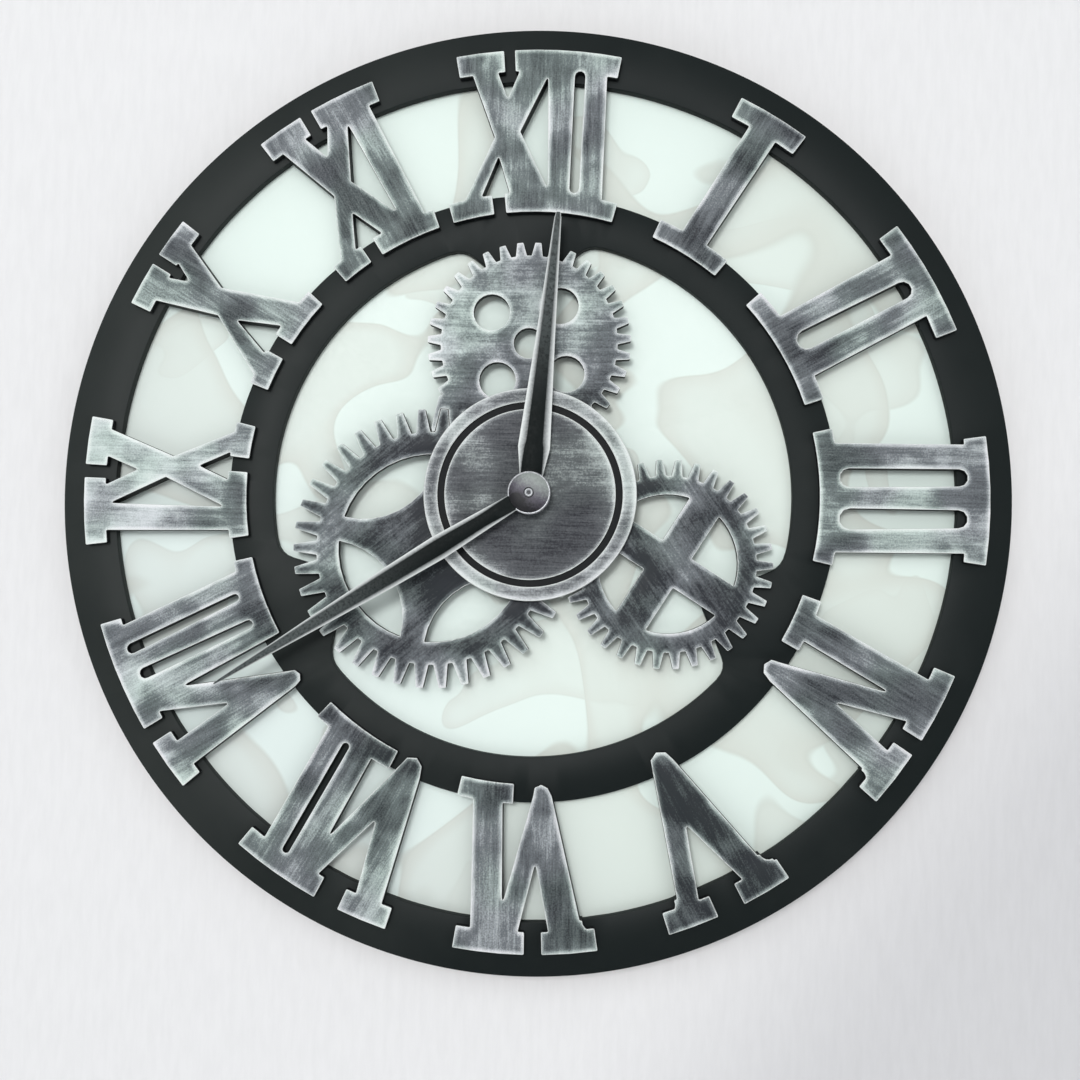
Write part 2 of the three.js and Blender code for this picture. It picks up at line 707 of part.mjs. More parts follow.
// Outline of a decorative gear with tapered teeth, grown on all sides by a margin
function gearOutline(gear, margin = 0) {
  const pitch = 360 / gear.teeth;
  const tipR = gear.tipR + margin;
  const rootR = gear.rootR + margin;
  const rootHalf = THREE.MathUtils.radToDeg((gear.rootWidth / 2 + margin) / rootR);
  const tipHalf = THREE.MathUtils.radToDeg((gear.tipWidth / 2 + margin) / tipR);
  return Array.from({ length: gear.teeth }, (_, tooth) => {
    const angle = gear.phase + tooth * pitch;
    return [
      polar(rootR, angle - rootHalf, gear),
      polar(tipR, angle - tipHalf, gear),
      polar(tipR, angle + tipHalf, gear),
      polar(rootR, angle + rootHalf, gear),
    ];
  }).flat();
}

// Lens-shaped hole between two concave spokes
function lensHole(gear, angle) {
  const tipAngle = 45 - THREE.MathUtils.radToDeg(LEFT_GEAR_SPOKE_WIDTH / 2 / LEFT_GEAR_RIM_R);
  const tipAlong = LEFT_GEAR_RIM_R * Math.cos(radians(tipAngle));
  const tipAcross = LEFT_GEAR_RIM_R * Math.sin(radians(tipAngle));
  const hub = LEFT_GEAR_HUB_R;
  const arcCentre = (tipAlong ** 2 + tipAcross ** 2 - hub ** 2) / (2 * (tipAlong - hub));
  const arcR = arcCentre - hub;
  const half = THREE.MathUtils.radToDeg(Math.asin(tipAcross / arcR));
  const centre = polar(arcCentre, angle, gear);
  const rim = arc(LEFT_GEAR_RIM_R, angle - tipAngle, angle + tipAngle, LENS_STEPS, gear);
  const inner = arc(arcR, angle + 180 - half, angle + 180 + half, LENS_STEPS, centre);
  return [...rim, ...inner.slice(1, -1)];
}

// Quarter hole between two straight spokes
function quarterHole(gear, angle) {
  const half = RIGHT_GEAR_SPOKE_WIDTH / 2;
  const edge = 45 - THREE.MathUtils.radToDeg(Math.asin(half / RIGHT_GEAR_RIM_R));
  const rim = arc(RIGHT_GEAR_RIM_R, angle - edge, angle + edge, LENS_STEPS, gear);
  return [...rim, polar(half * Math.SQRT2, angle, gear)];
}

// Three decorative gears in one plane, nested where they meet behind the centre disc
function buildGears() {
  const quarterTurns = [0, 90, 180, 270];
  const cutter = (outline) => plate(outline, GEAR_REAR - CUT_REACH, GEAR_FRONT + CUT_REACH);
  const body = (gear) => plate(gearOutline(gear), GEAR_REAR, GEAR_FRONT);
  const leftOutline = gearOutline(LEFT_GEAR, GEAR_SEAM);
  const topHoles = [
    circle(TOP_GEAR_HUB_HOLE_R, HOLE_STEPS, TOP_GEAR),
    ...quarterTurns.map((turn) => {
      const centre = polar(TOP_GEAR_HOLE_CIRCLE_R, TOP_GEAR_HOLE_ANGLE + turn, TOP_GEAR);
      return circle(TOP_GEAR_HOLE_R, HOLE_STEPS, centre);
    }),
  ];
  const leftHoles = [
    circle(BUSH_R + BUSH_CLEARANCE, SMALL_STEPS),
    ...quarterTurns.map((turn) => lensHole(LEFT_GEAR, LEFT_GEAR_HOLE_ANGLE + turn)),
  ];
  const rightHoles = quarterTurns.map((turn) => quarterHole(RIGHT_GEAR, RIGHT_GEAR_HOLE_ANGLE + turn));
  addPiece('left_gear', cut(body(LEFT_GEAR), leftHoles.map(cutter)), ANTIQUE_SILVER);
  const web = plate(TOP_GEAR_WEB.map(([x, y]) => new THREE.Vector2(x, y)), GEAR_REAR, GEAR_FRONT);
  const topBlank = body(TOP_GEAR).add(web);
  addPiece('top_gear', cut(topBlank, [...topHoles, leftOutline].map(cutter)), ANTIQUE_SILVER);
  addPiece('right_gear', cut(body(RIGHT_GEAR), [...rightHoles, leftOutline].map(cutter)), ANTIQUE_SILVER);
}

// Grooved disc at the centre of the dial
function buildCentreDisc() {
  const grooveFloor = DISC_FRONT - GROOVE_DEPTH;
  const boreR = BUSH_R + BUSH_CLEARANCE;
  addPiece('centre_disc', turned([
    [boreR, DISC_REAR], [DISC_R, DISC_REAR], [DISC_R, DISC_FRONT - DISC_EDGE_CHAMFER],
    [DISC_R - DISC_EDGE_CHAMFER, DISC_FRONT], [GROOVE_OUTER_R, DISC_FRONT], [GROOVE_OUTER_R, grooveFloor],
    [GROOVE_INNER_R, grooveFloor], [GROOVE_INNER_R, DISC_FRONT], [boreR, DISC_FRONT],
  ], DISC_STEPS), ANTIQUE_SILVER);
}

// Rubber ring, washer and nut that clamp the movement to the dial by its threaded bush
function buildClamp() {
  const bore = circle(BUSH_R + BUSH_CLEARANCE, SMALL_STEPS);
  const ring = (radius, rear, front) => plate(circle(radius, SMALL_STEPS), rear, front, [bore]);
  const gasketRear = CASE_DEPTH + CLAMP_GAP;
  addPiece('rubber_gasket', ring(GASKET_R, gasketRear, gasketRear + GASKET_T), RUBBER);
  addPiece('brass_washer', ring(WASHER_R, WASHER_REAR, WASHER_REAR + WASHER_T), BRASS);
  const hex = circle(HEX_NUT_FLATS / 2 / Math.cos(Math.PI / 6), 6);
  const thread = circle(BUSH_R + CLAMP_GAP, SMALL_STEPS);
  addPiece('hex_nut', plate(hex, HEX_NUT_REAR, HEX_NUT_REAR + HEX_NUT_T, [thread]), BRASS);
}

// Outline of a hand: blade with a pointed or blunt end
function bladeOutline({ angle, length, profile, tipHalf }) {
  const point = (across, along) => polar(along, angle).add(polar(across, angle + 90));
  const left = profile.map(([along, half]) => point(-half, along));
  const right = profile.map(([along, half]) => point(half, along)).reverse();
  return [...left, point(-tipHalf, length), point(tipHalf, length), ...right];
}

function handSolid(hand, rear, boreR) {
  const front = rear + HAND_T;
  const hub = pillar(HAND_HUB_R, rear, front, DISC_STEPS / 2);
  const blade = plate(bladeOutline(hand), rear, front);
  return cut(join([hub, blade]), [pillar(boreR, rear - CUT_REACH, front + CUT_REACH, SMALL_STEPS)]);
}

function buildHands() {
  const seatR = ARBOR_R + HAND_BORE_CLEARANCE;
  const rear = MINUTE_HAND_FRONT + CLAMP_GAP;
  addPiece('hour_hand', handSolid(HOUR_HAND, HOUR_HAND_REAR, PIPE_R + HAND_BORE_CLEARANCE), HAND_BLACK);
  addPiece('minute_hand', handSolid(MINUTE_HAND, MINUTE_HAND_REAR, seatR), HAND_BLACK);
  addPiece('cap_nut', turned([
    [seatR, rear], [CAP_NUT_R, rear], [CAP_NUT_R, rear + CAP_NUT_T], [CAP_NUT_EYE_R, rear + CAP_NUT_T],
    [CAP_NUT_EYE_R, rear + CAP_NUT_SEAT_T], [seatR, rear + CAP_NUT_SEAT_T],
  ], SMALL_STEPS), STEEL);
}

// Wheel with pointed teeth, two points to a tooth
function wheelOutline(teeth, module, phase, centre) {
  const tipR = module * (teeth / 2 + ADDENDUM);
  const rootR = module * (teeth / 2 - WHEEL_DEDENDUM);
  const pitch = 360 / teeth;
  return Array.from({ length: teeth }, (_, i) => [
    polar(tipR, phase + i * pitch, centre),
    polar(rootR, phase + (i + 0.5) * pitch, centre),
  ]).flat();
}

// Pinion with tapered teeth, four points to a tooth
function pinionOutline(teeth, module, phase, centre) {
  const tipR = module * (teeth / 2 + ADDENDUM);
  const rootR = module * (teeth / 2 - PINION_DEDENDUM);
  const pitch = 360 / teeth;
  const rootHalf = pitch * PINION_ROOT_SHARE / 2;
  const tipHalf = pitch * PINION_TIP_SHARE / 2;
  return Array.from({ length: teeth }, (_, i) => {
    const angle = phase + i * pitch;
    return [
      polar(rootR, angle - rootHalf, centre),
      polar(tipR, angle - tipHalf, centre),
      polar(tipR, angle + tipHalf, centre),
      polar(rootR, angle + rootHalf, centre),
    ];
  }).flat();
}

// Wheel or pinion of the common thickness at a level, thicker on both sides by an overlap
function toothed(outline, level, over = 0) {
  return plate(outline, level - over, level + WHEEL_T + over);
}

const meshDistance = (module, teethA, teethB) => module * (teethA + teethB) / 2;

// Arbor places of the train, each a mesh distance away from the one before
const CENTRE_AXIS = new THREE.Vector2(0, 0);
const THIRD_AXIS = polar(
  meshDistance(CENTRE_MODULE, CENTRE_TEETH, PINION_TEETH), THIRD_ARBOR_ANGLE, CENTRE_AXIS);
const SECONDS_AXIS = polar(
  meshDistance(CENTRE_MODULE, THIRD_TEETH, PINION_TEETH), SECONDS_ARBOR_ANGLE, THIRD_AXIS);
const INTERMEDIATE_AXIS = polar(
  meshDistance(SECONDS_MODULE, SECONDS_TEETH, PINION_TEETH), INTERMEDIATE_ARBOR_ANGLE, SECONDS_AXIS);
const ROTOR_AXIS = polar(
  meshDistance(ROTOR_MODULE, INTERMEDIATE_TEETH, PINION_TEETH), ROTOR_ARBOR_ANGLE, INTERMEDIATE_AXIS);
const MINUTE_WHEEL_AXIS = polar(
  meshDistance(MOTION_MODULE, MINUTE_WHEEL_TEETH, CANNON_TEETH), MOTION_ARBOR_ANGLE, CENTRE_AXIS);
const KNOB_AXIS = polar(
  meshDistance(MOTION_MODULE, MINUTE_WHEEL_TEETH, KNOB_PINION_TEETH), MOTION_ARBOR_ANGLE, MINUTE_WHEEL_AXIS);
const TRAIN_AXES = [THIRD_AXIS, SECONDS_AXIS, INTERMEDIATE_AXIS, ROTOR_AXIS];

// Tooth angle of a driven wheel that puts one of its gaps where the driver's tooth points at it
function meshedPhase(driverPhase, driverTeeth, drivenTeeth, lineAngle) {
  const driverOffset = (lineAngle - driverPhase) * driverTeeth;
  return lineAngle + 180 + (driverOffset + 180) / drivenTeeth;
}

// Wheel and pinion on one arbor
function trainSolid(axis, wheel, pinion) {
  return join([
    toothed(wheelOutline(wheel.teeth, wheel.module, WHEEL_PHASE, axis), wheel.level),
    toothed(pinionOutline(PINION_TEETH, pinion.module, pinion.phase, axis), pinion.level, PINION_OVERLAP),
    pillar(TRAIN_ARBOR_R, ARBOR_REAR, ARBOR_FRONT, ARBOR_STEPS, axis),
  ]);
}

// Running train from the stepping rotor down to the centre wheel
function buildTrain() {
  const boreR = ARBOR_FOOT_R + CLUTCH_CLEARANCE;
  const centreBlank = join([
    toothed(wheelOutline(CENTRE_TEETH, CENTRE_MODULE, WHEEL_PHASE, CENTRE_AXIS), CENTRE_WHEEL_Z),
    toothed(circle(boreR + CLUTCH_HUB_WALL, SMALL_STEPS / 2), CENTRE_WHEEL_Z, PINION_OVERLAP),
  ]);
  addPiece('centre_wheel', cut(centreBlank, [pillar(boreR, 0, CASE_DEPTH, SMALL_STEPS / 2)]), BRASS);

  const pinion = (module, teeth, angle, level) => (
    { module, level, phase: meshedPhase(WHEEL_PHASE, teeth, PINION_TEETH, angle) });
  addPiece('third_wheel', trainSolid(
    THIRD_AXIS,
    { teeth: THIRD_TEETH, module: CENTRE_MODULE, level: THIRD_WHEEL_Z },
    pinion(CENTRE_MODULE, CENTRE_TEETH, THIRD_ARBOR_ANGLE, CENTRE_WHEEL_Z),
  ), NYLON);
  addPiece('seconds_wheel', trainSolid(
    SECONDS_AXIS,
    { teeth: SECONDS_TEETH, module: SECONDS_MODULE, level: SECONDS_WHEEL_Z },
    pinion(CENTRE_MODULE, THIRD_TEETH, SECONDS_ARBOR_ANGLE, THIRD_WHEEL_Z),
  ), NYLON);
  addPiece('intermediate_wheel', trainSolid(
    INTERMEDIATE_AXIS,
    { teeth: INTERMEDIATE_TEETH, module: ROTOR_MODULE, level: INTERMEDIATE_WHEEL_Z },
    pinion(SECONDS_MODULE, SECONDS_TEETH, INTERMEDIATE_ARBOR_ANGLE, SECONDS_WHEEL_Z),
  ), NYLON);
  const rotorPhase = meshedPhase(WHEEL_PHASE, INTERMEDIATE_TEETH, PINION_TEETH, ROTOR_ARBOR_ANGLE);
  const rotorPinion = pinionOutline(PINION_TEETH, ROTOR_MODULE, rotorPhase, ROTOR_AXIS);
  addPiece('rotor', join([
    pillar(MAGNET_R, MAGNET_Z, MAGNET_Z + MAGNET_T, SMALL_STEPS, ROTOR_AXIS),
    toothed(rotorPinion, INTERMEDIATE_WHEEL_Z, PINION_OVERLAP),
    pillar(TRAIN_ARBOR_R, ARBOR_REAR, ARBOR_FRONT, ARBOR_STEPS, ROTOR_AXIS),
  ]), FERRITE);
}

// Motion work: cannon pinion on the minute arbor, minute wheel, hour wheel and setting knob
function buildMotionWork() {
  const over = PINION_OVERLAP;
  const cannonFront = HOUR_WHEEL_Z - over;
  const arborTop = MINUTE_HAND_FRONT + CLAMP_GAP + CAP_NUT_SEAT_T - PIVOT_GAP;
  const outward = MOTION_ARBOR_ANGLE;
  const inward = MOTION_ARBOR_ANGLE - 180;
  const cannonPhase = inward;
  const minutePinionPhase = inward;
  const minuteWheelPhase = meshedPhase(cannonPhase, CANNON_TEETH, MINUTE_WHEEL_TEETH, outward);
  const hourPhase = meshedPhase(minutePinionPhase, MINUTE_PINION_TEETH, HOUR_WHEEL_TEETH, inward);
  const knobPhase = meshedPhase(minuteWheelPhase, MINUTE_WHEEL_TEETH, KNOB_PINION_TEETH, outward);
  const cannon = pinionOutline(CANNON_TEETH, MOTION_MODULE, cannonPhase, CENTRE_AXIS);
  addPiece('minute_arbor', join([
    pillar(ARBOR_FOOT_R, ARBOR_REAR, MINUTE_WHEEL_Z, ARBOR_STEPS * 2),
    plate(cannon, MINUTE_WHEEL_Z - over, cannonFront),
    pillar(ARBOR_R, cannonFront - over, arborTop, SMALL_STEPS),
  ]), STEEL);

  const pipeTop = HOUR_HAND_FRONT + PIPE_PROUD;
  const hourBlank = join([
    toothed(wheelOutline(HOUR_WHEEL_TEETH, MOTION_MODULE, hourPhase, CENTRE_AXIS), HOUR_WHEEL_Z),
    pillar(PIPE_R, HOUR_WHEEL_Z, pipeTop, SMALL_STEPS),
  ]);
  addPiece('hour_wheel', cut(hourBlank, [pillar(PIPE_BORE_R, 0, pipeTop + CUT_REACH, SMALL_STEPS)]), NYLON);

  const axis = MINUTE_WHEEL_AXIS;
  const minuteWheel = wheelOutline(MINUTE_WHEEL_TEETH, MOTION_MODULE, minuteWheelPhase, axis);
  const minutePinion = pinionOutline(MINUTE_PINION_TEETH, MOTION_MODULE, minutePinionPhase, axis);
  const minuteBlank = join([
    toothed(minuteWheel, MINUTE_WHEEL_Z),
    plate(minutePinion, MINUTE_WHEEL_Z, HOUR_WHEEL_Z + WHEEL_T + over),
  ]);
  const minuteBore = pillar(POST_R + PIVOT_CLEARANCE, 0, CASE_DEPTH, SMALL_STEPS / 2, axis);
  addPiece('minute_wheel', cut(minuteBlank, [minuteBore]), NYLON);

  const knobGrip = gearOutline({
    x: KNOB_AXIS.x, y: KNOB_AXIS.y, teeth: KNOB_GRIP_TEETH, phase: 0,
    tipR: KNOB_R, rootR: KNOB_R - KNOB_GRIP_DEPTH, tipWidth: KNOB_GRIP_TIP, rootWidth: KNOB_GRIP_ROOT,
  });
  const knobFront = KNOB_RECESS + KNOB_T;
  const knobPinion = pinionOutline(KNOB_PINION_TEETH, MOTION_MODULE, knobPhase, KNOB_AXIS);
  addPiece('setting_knob', join([
    plate(knobGrip, KNOB_RECESS, knobFront),
    pillar(KNOB_SHAFT_R, knobFront - JOIN_LAP, MINUTE_WHEEL_Z, SMALL_STEPS / 2, KNOB_AXIS),
    toothed(knobPinion, MINUTE_WHEEL_Z, over),
    pillar(TRAIN_ARBOR_R, MINUTE_WHEEL_Z, ARBOR_FRONT, ARBOR_STEPS, KNOB_AXIS),
  ]), CASE_PLASTIC);
}

// Blind holes for the arbors' ends
function pivotHoles(axes, rear, front) {
  return axes.map((axis) => pillar(TRAIN_ARBOR_R + PIVOT_CLEARANCE, rear, front, ARBOR_STEPS, axis));
}

// Rear housing with its hanging loop, battery bay and knob well
function buildCase() {
  const front = COVER_REAR;
  const half = CASE_SIZE / 2;
  const innerHalf = half - CASE_WALL;
  const innerOutline = roundedSquare(CASE_SIZE - 2 * CASE_WALL, CASE_CORNER_R - CASE_WALL);
  const shell = plate(roundedSquare(CASE_SIZE, CASE_CORNER_R), 0, front);
  const hollow = plate(innerOutline, CASE_FLOOR, front + CUT_REACH);
  const bayTop = BATTERY_Y + BATTERY_R + BATTERY_BAY_CLEARANCE;
  const wallEnd = innerHalf + JOIN_LAP;
  const bayWall = block(-wallEnd, wallEnd, bayTop, bayTop + BAY_WALL, CASE_FLOOR / 2, front);
  const wellR = KNOB_R + KNOB_CLEARANCE;
  const wellTop = KNOB_RECESS + KNOB_T + KNOB_CLEARANCE;
  const wellFront = wellTop + KNOB_WELL_WALL;
  const well = pillar(wellR + KNOB_WELL_WALL, CASE_FLOOR / 2, wellFront, SMALL_STEPS, KNOB_AXIS);
  const loopTop = half + HANGER_HEIGHT;
  const loop = block(-HANGER_WIDTH / 2, HANGER_WIDTH / 2, half - CASE_WALL, loopTop, 0, HANGER_T);
  const slotTop = loopTop - (HANGER_HEIGHT - HANGER_SLOT_HEIGHT) / 2;
  const slotHalf = HANGER_SLOT_WIDTH / 2;
  const floorTop = CASE_FLOOR + CUT_REACH;
  const openings = [
    ...pivotHoles(TRAIN_AXES, CASE_FLOOR - PIVOT_DEPTH, floorTop),
    pillar(ARBOR_FOOT_R + PIVOT_CLEARANCE, CASE_FLOOR - PIVOT_DEPTH, floorTop, ARBOR_STEPS * 2),
    block(-innerHalf, innerHalf, -innerHalf, bayTop, -CUT_REACH, floorTop),
    pillar(wellR, -CUT_REACH, wellTop, SMALL_STEPS, KNOB_AXIS),
    pillar(KNOB_SHAFT_R + PIVOT_GAP, 0, wellFront + CUT_REACH, SMALL_STEPS / 2, KNOB_AXIS),
    block(-slotHalf, slotHalf, slotTop - HANGER_SLOT_HEIGHT, slotTop, -CUT_REACH, HANGER_T + CUT_REACH),
  ];
  const housing = join([shell.subtract(hollow), bayWall, well, loop]);
  addPiece('movement_case', cut(housing, openings), CASE_PLASTIC);
}

// Front cover of the movement with the threaded bush
function buildCover() {
  const bushTop = HEX_NUT_REAR + HEX_NUT_T + BUSH_PROUD;
  const lid = plate(roundedSquare(CASE_SIZE, CASE_CORNER_R), LID_REAR, CASE_DEPTH);
  const bush = pillar(BUSH_R, LID_REAR, bushTop, SMALL_STEPS);
  const bore = pillar(BUSH_BORE_R, 0, bushTop + CUT_REACH, SMALL_STEPS);
  const batteryZ = BATTERY_REAR + BATTERY_R;
  const half = CASE_SIZE / 2 - CASE_WALL;
  const relief = bar(BATTERY_R + COVER_SEAT, -half, half, BATTERY_Y, batteryZ, HOLE_STEPS);
  const post = pillar(POST_R, MINUTE_WHEEL_Z, LID_REAR + JOIN_LAP, SMALL_STEPS / 2, MINUTE_WHEEL_AXIS);
  const pivots = pivotHoles([...TRAIN_AXES, KNOB_AXIS], LID_REAR - CUT_REACH, LID_REAR + PIVOT_DEPTH);
  addPiece('movement_cover', cut(join([lid, bush, post]), [bore, relief, ...pivots]), CASE_PLASTIC);
}

// Coil, stator and circuit board that drive the rotor
function buildMotor() {
  const coilEnd = COIL_X + COIL_LENGTH;
  const coilZ = STATOR_Z + STATOR_T / 2;
  const y = ROTOR_AXIS.y;
  const armHalf = STATOR_ARM_WIDTH / 2;
  const boreHalf = armHalf + COIL_BORE_CLEARANCE;
  const boreRear = STATOR_Z - COIL_BORE_CLEARANCE;
  const boreFront = STATOR_Z + STATOR_T + COIL_BORE_CLEARANCE;
  const bobbin = join([
    bar(COIL_R, COIL_X, coilEnd, y, coilZ, SMALL_STEPS),
    bar(COIL_FLANGE_R, COIL_X, COIL_X + COIL_FLANGE_T, y, coilZ, SMALL_STEPS),
    bar(COIL_FLANGE_R, coilEnd - COIL_FLANGE_T, coilEnd, y, coilZ, SMALL_STEPS),
  ]);
  const boreX = COIL_X - CUT_REACH;
  const bore = block(boreX, coilEnd + CUT_REACH, y - boreHalf, y + boreHalf, boreRear, boreFront);
  addPiece('drive_coil', cut(bobbin, [bore]), COPPER);

  const front = STATOR_Z + STATOR_T;
  const arm = block(COIL_X - STATOR_TAIL, ROTOR_AXIS.x, y - armHalf, y + armHalf, STATOR_Z, front);
  const ring = pillar(STATOR_RING_R, STATOR_Z, front, SMALL_STEPS, ROTOR_AXIS);
  const hole = pillar(STATOR_HOLE_R, STATOR_Z - CUT_REACH, front + CUT_REACH, SMALL_STEPS, ROTOR_AXIS);
  addPiece('stator', cut(join([arm, ring]), [hole]), STEEL);

  const boardTop = BOARD.z + BOARD.t;
  const crystalX = BOARD.x + CRYSTAL_INSET;
  const crystalY = BOARD.y + BOARD.height / 3;
  const crystalZ = boardTop + CRYSTAL_R - JOIN_LAP;
  addPiece('circuit_board', join([
    block(BOARD.x, BOARD.x + BOARD.width, BOARD.y, BOARD.y + BOARD.height, BOARD.z, boardTop),
    bar(CRYSTAL_R, crystalX, crystalX + CRYSTAL_LENGTH, crystalY, crystalZ, ARBOR_STEPS * 2),
  ]), BOARD_GREEN);
}

// Battery between its plate contact and its spring contact
function buildSupply() {
  const z = BATTERY_REAR + BATTERY_R;
  const halfBody = BATTERY_LENGTH / 2;
  const nubEnd = halfBody + BATTERY_NUB_LENGTH;
  const outer = CASE_SIZE / 2 - CASE_WALL - COVER_SEAT;
  const inner = outer - CONTACT_T;
  const leaf = (x0, x1) => (
    block(x0, x1, BATTERY_Y - CONTACT_WIDTH / 2, BATTERY_Y + CONTACT_WIDTH / 2,
      z - CONTACT_HEIGHT / 2, z + CONTACT_HEIGHT / 2));
  addPiece('battery', join([
    bar(BATTERY_R, -halfBody, halfBody, BATTERY_Y, z, HOLE_STEPS),
    bar(BATTERY_NUB_R, halfBody - JOIN_LAP, nubEnd, BATTERY_Y, z, SMALL_STEPS / 2),
  ]), BATTERY_JACKET);
  addPiece('plate_contact', leaf(inner, outer), STEEL);
  addPiece('spring_contact', join([
    leaf(-outer, -inner),
    bar(SPRING_R, -inner - JOIN_LAP, -halfBody - COVER_SEAT, BATTERY_Y, z, SMALL_STEPS / 2),
  ]), STEEL);
}

// Two bumpers low on the rim, from the panel to the wall
function buildBumpers() {
  BUMPER_ANGLES.forEach((angle, index) => {
    const bumper = pillar(BUMPER_R, 0, PANEL_REAR - GLUE_GAP, SMALL_STEPS, polar(BUMPER_CIRCLE_R, angle));
    addPiece(`wall_bumper_${index + 1}`, bumper, RUBBER);
  });
}

buildDialPlate();
buildBackPanel();
buildNumerals();
buildCarrier();
buildGears();
buildCentreDisc();
buildClamp();
buildHands();
buildCase();
buildCover();
buildTrain();
buildMotionWork();
buildMotor();
buildSupply();
buildBumpers();

export default clock;
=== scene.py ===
"""Dresses the gear wall clock: refined boards, painted finishes, hands, fastenings, light and camera."""
import json
import logging
import math
from abc import ABC, abstractmethod
from dataclasses import dataclass, field
from enum import Enum, IntEnum

import bmesh
import bpy
from bmesh.types import BMEdge, BMesh, BMFace, BMVert
from bpy.types import Material, Node, NodeSocket, NodeTree, Object
from mathutils import Matrix, Vector


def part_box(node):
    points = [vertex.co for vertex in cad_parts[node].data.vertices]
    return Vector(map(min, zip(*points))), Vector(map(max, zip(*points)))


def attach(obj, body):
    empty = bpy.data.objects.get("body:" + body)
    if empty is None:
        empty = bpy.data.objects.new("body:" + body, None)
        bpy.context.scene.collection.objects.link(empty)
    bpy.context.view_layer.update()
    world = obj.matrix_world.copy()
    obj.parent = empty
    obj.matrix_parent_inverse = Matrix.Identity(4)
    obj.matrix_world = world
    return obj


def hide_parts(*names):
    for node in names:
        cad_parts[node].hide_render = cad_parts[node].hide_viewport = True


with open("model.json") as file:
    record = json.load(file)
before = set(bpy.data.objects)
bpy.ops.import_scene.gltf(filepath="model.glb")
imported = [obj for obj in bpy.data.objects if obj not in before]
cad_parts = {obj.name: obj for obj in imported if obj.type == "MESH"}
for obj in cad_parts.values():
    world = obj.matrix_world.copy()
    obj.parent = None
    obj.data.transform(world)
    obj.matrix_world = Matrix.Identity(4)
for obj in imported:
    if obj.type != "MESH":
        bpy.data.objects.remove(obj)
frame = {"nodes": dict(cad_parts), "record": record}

LOG = logging.getLogger("gear_wall_clock")
HOURS = 12
MM = 0.001
# Distances in metres: at which points merge, and by which a front face may leave its plane
WELD = 2e-6
SPIN_WELD = 1e-6
FRONT_SLACK = 1e-5
# The largest angle between faces that are shaded as one
SMOOTH_BELOW = math.radians(32.0)
# Cosines to an axis: a face stands upright to it below the first and lies level on it above the second
UPRIGHT = 0.2
LEVEL = 0.9
BRUSH_MAP = "Brush"
BEVEL_SAMPLES = 6
# The range in which most of a noise lies
NOISE_LOW, NOISE_HIGH = 0.3, 0.7
Triple = tuple[float, float, float]
Colour = Triple
Point2 = tuple[float, float]
# What an input of a node takes
Feed = NodeSocket | float | tuple[float, ...]


class Direction(Enum):
    """Ways in which a painted face was brushed."""

    STROKE = "along the numeral's own hour line"
    FLAT = "from left to right"
    SLOPED = "on a slope"


class BoardSlot(IntEnum):
    """Material slots of a board."""

    FRONT = 0
    SIDE = 1
    REAR = 2


class DiscSlot(IntEnum):
    """Material slots of the centre disc."""

    SILVER = 0
    BLACK = 1


class HandSlot(IntEnum):
    """Material slots of a hand."""

    BAND = 0
    BEVEL = 1
    HUB = 2
    RIM = 3


class BatterySlot(IntEnum):
    """Material slots of the battery."""

    JACKET = 0
    BAND = 1
    END = 2


# Helpers for node trees


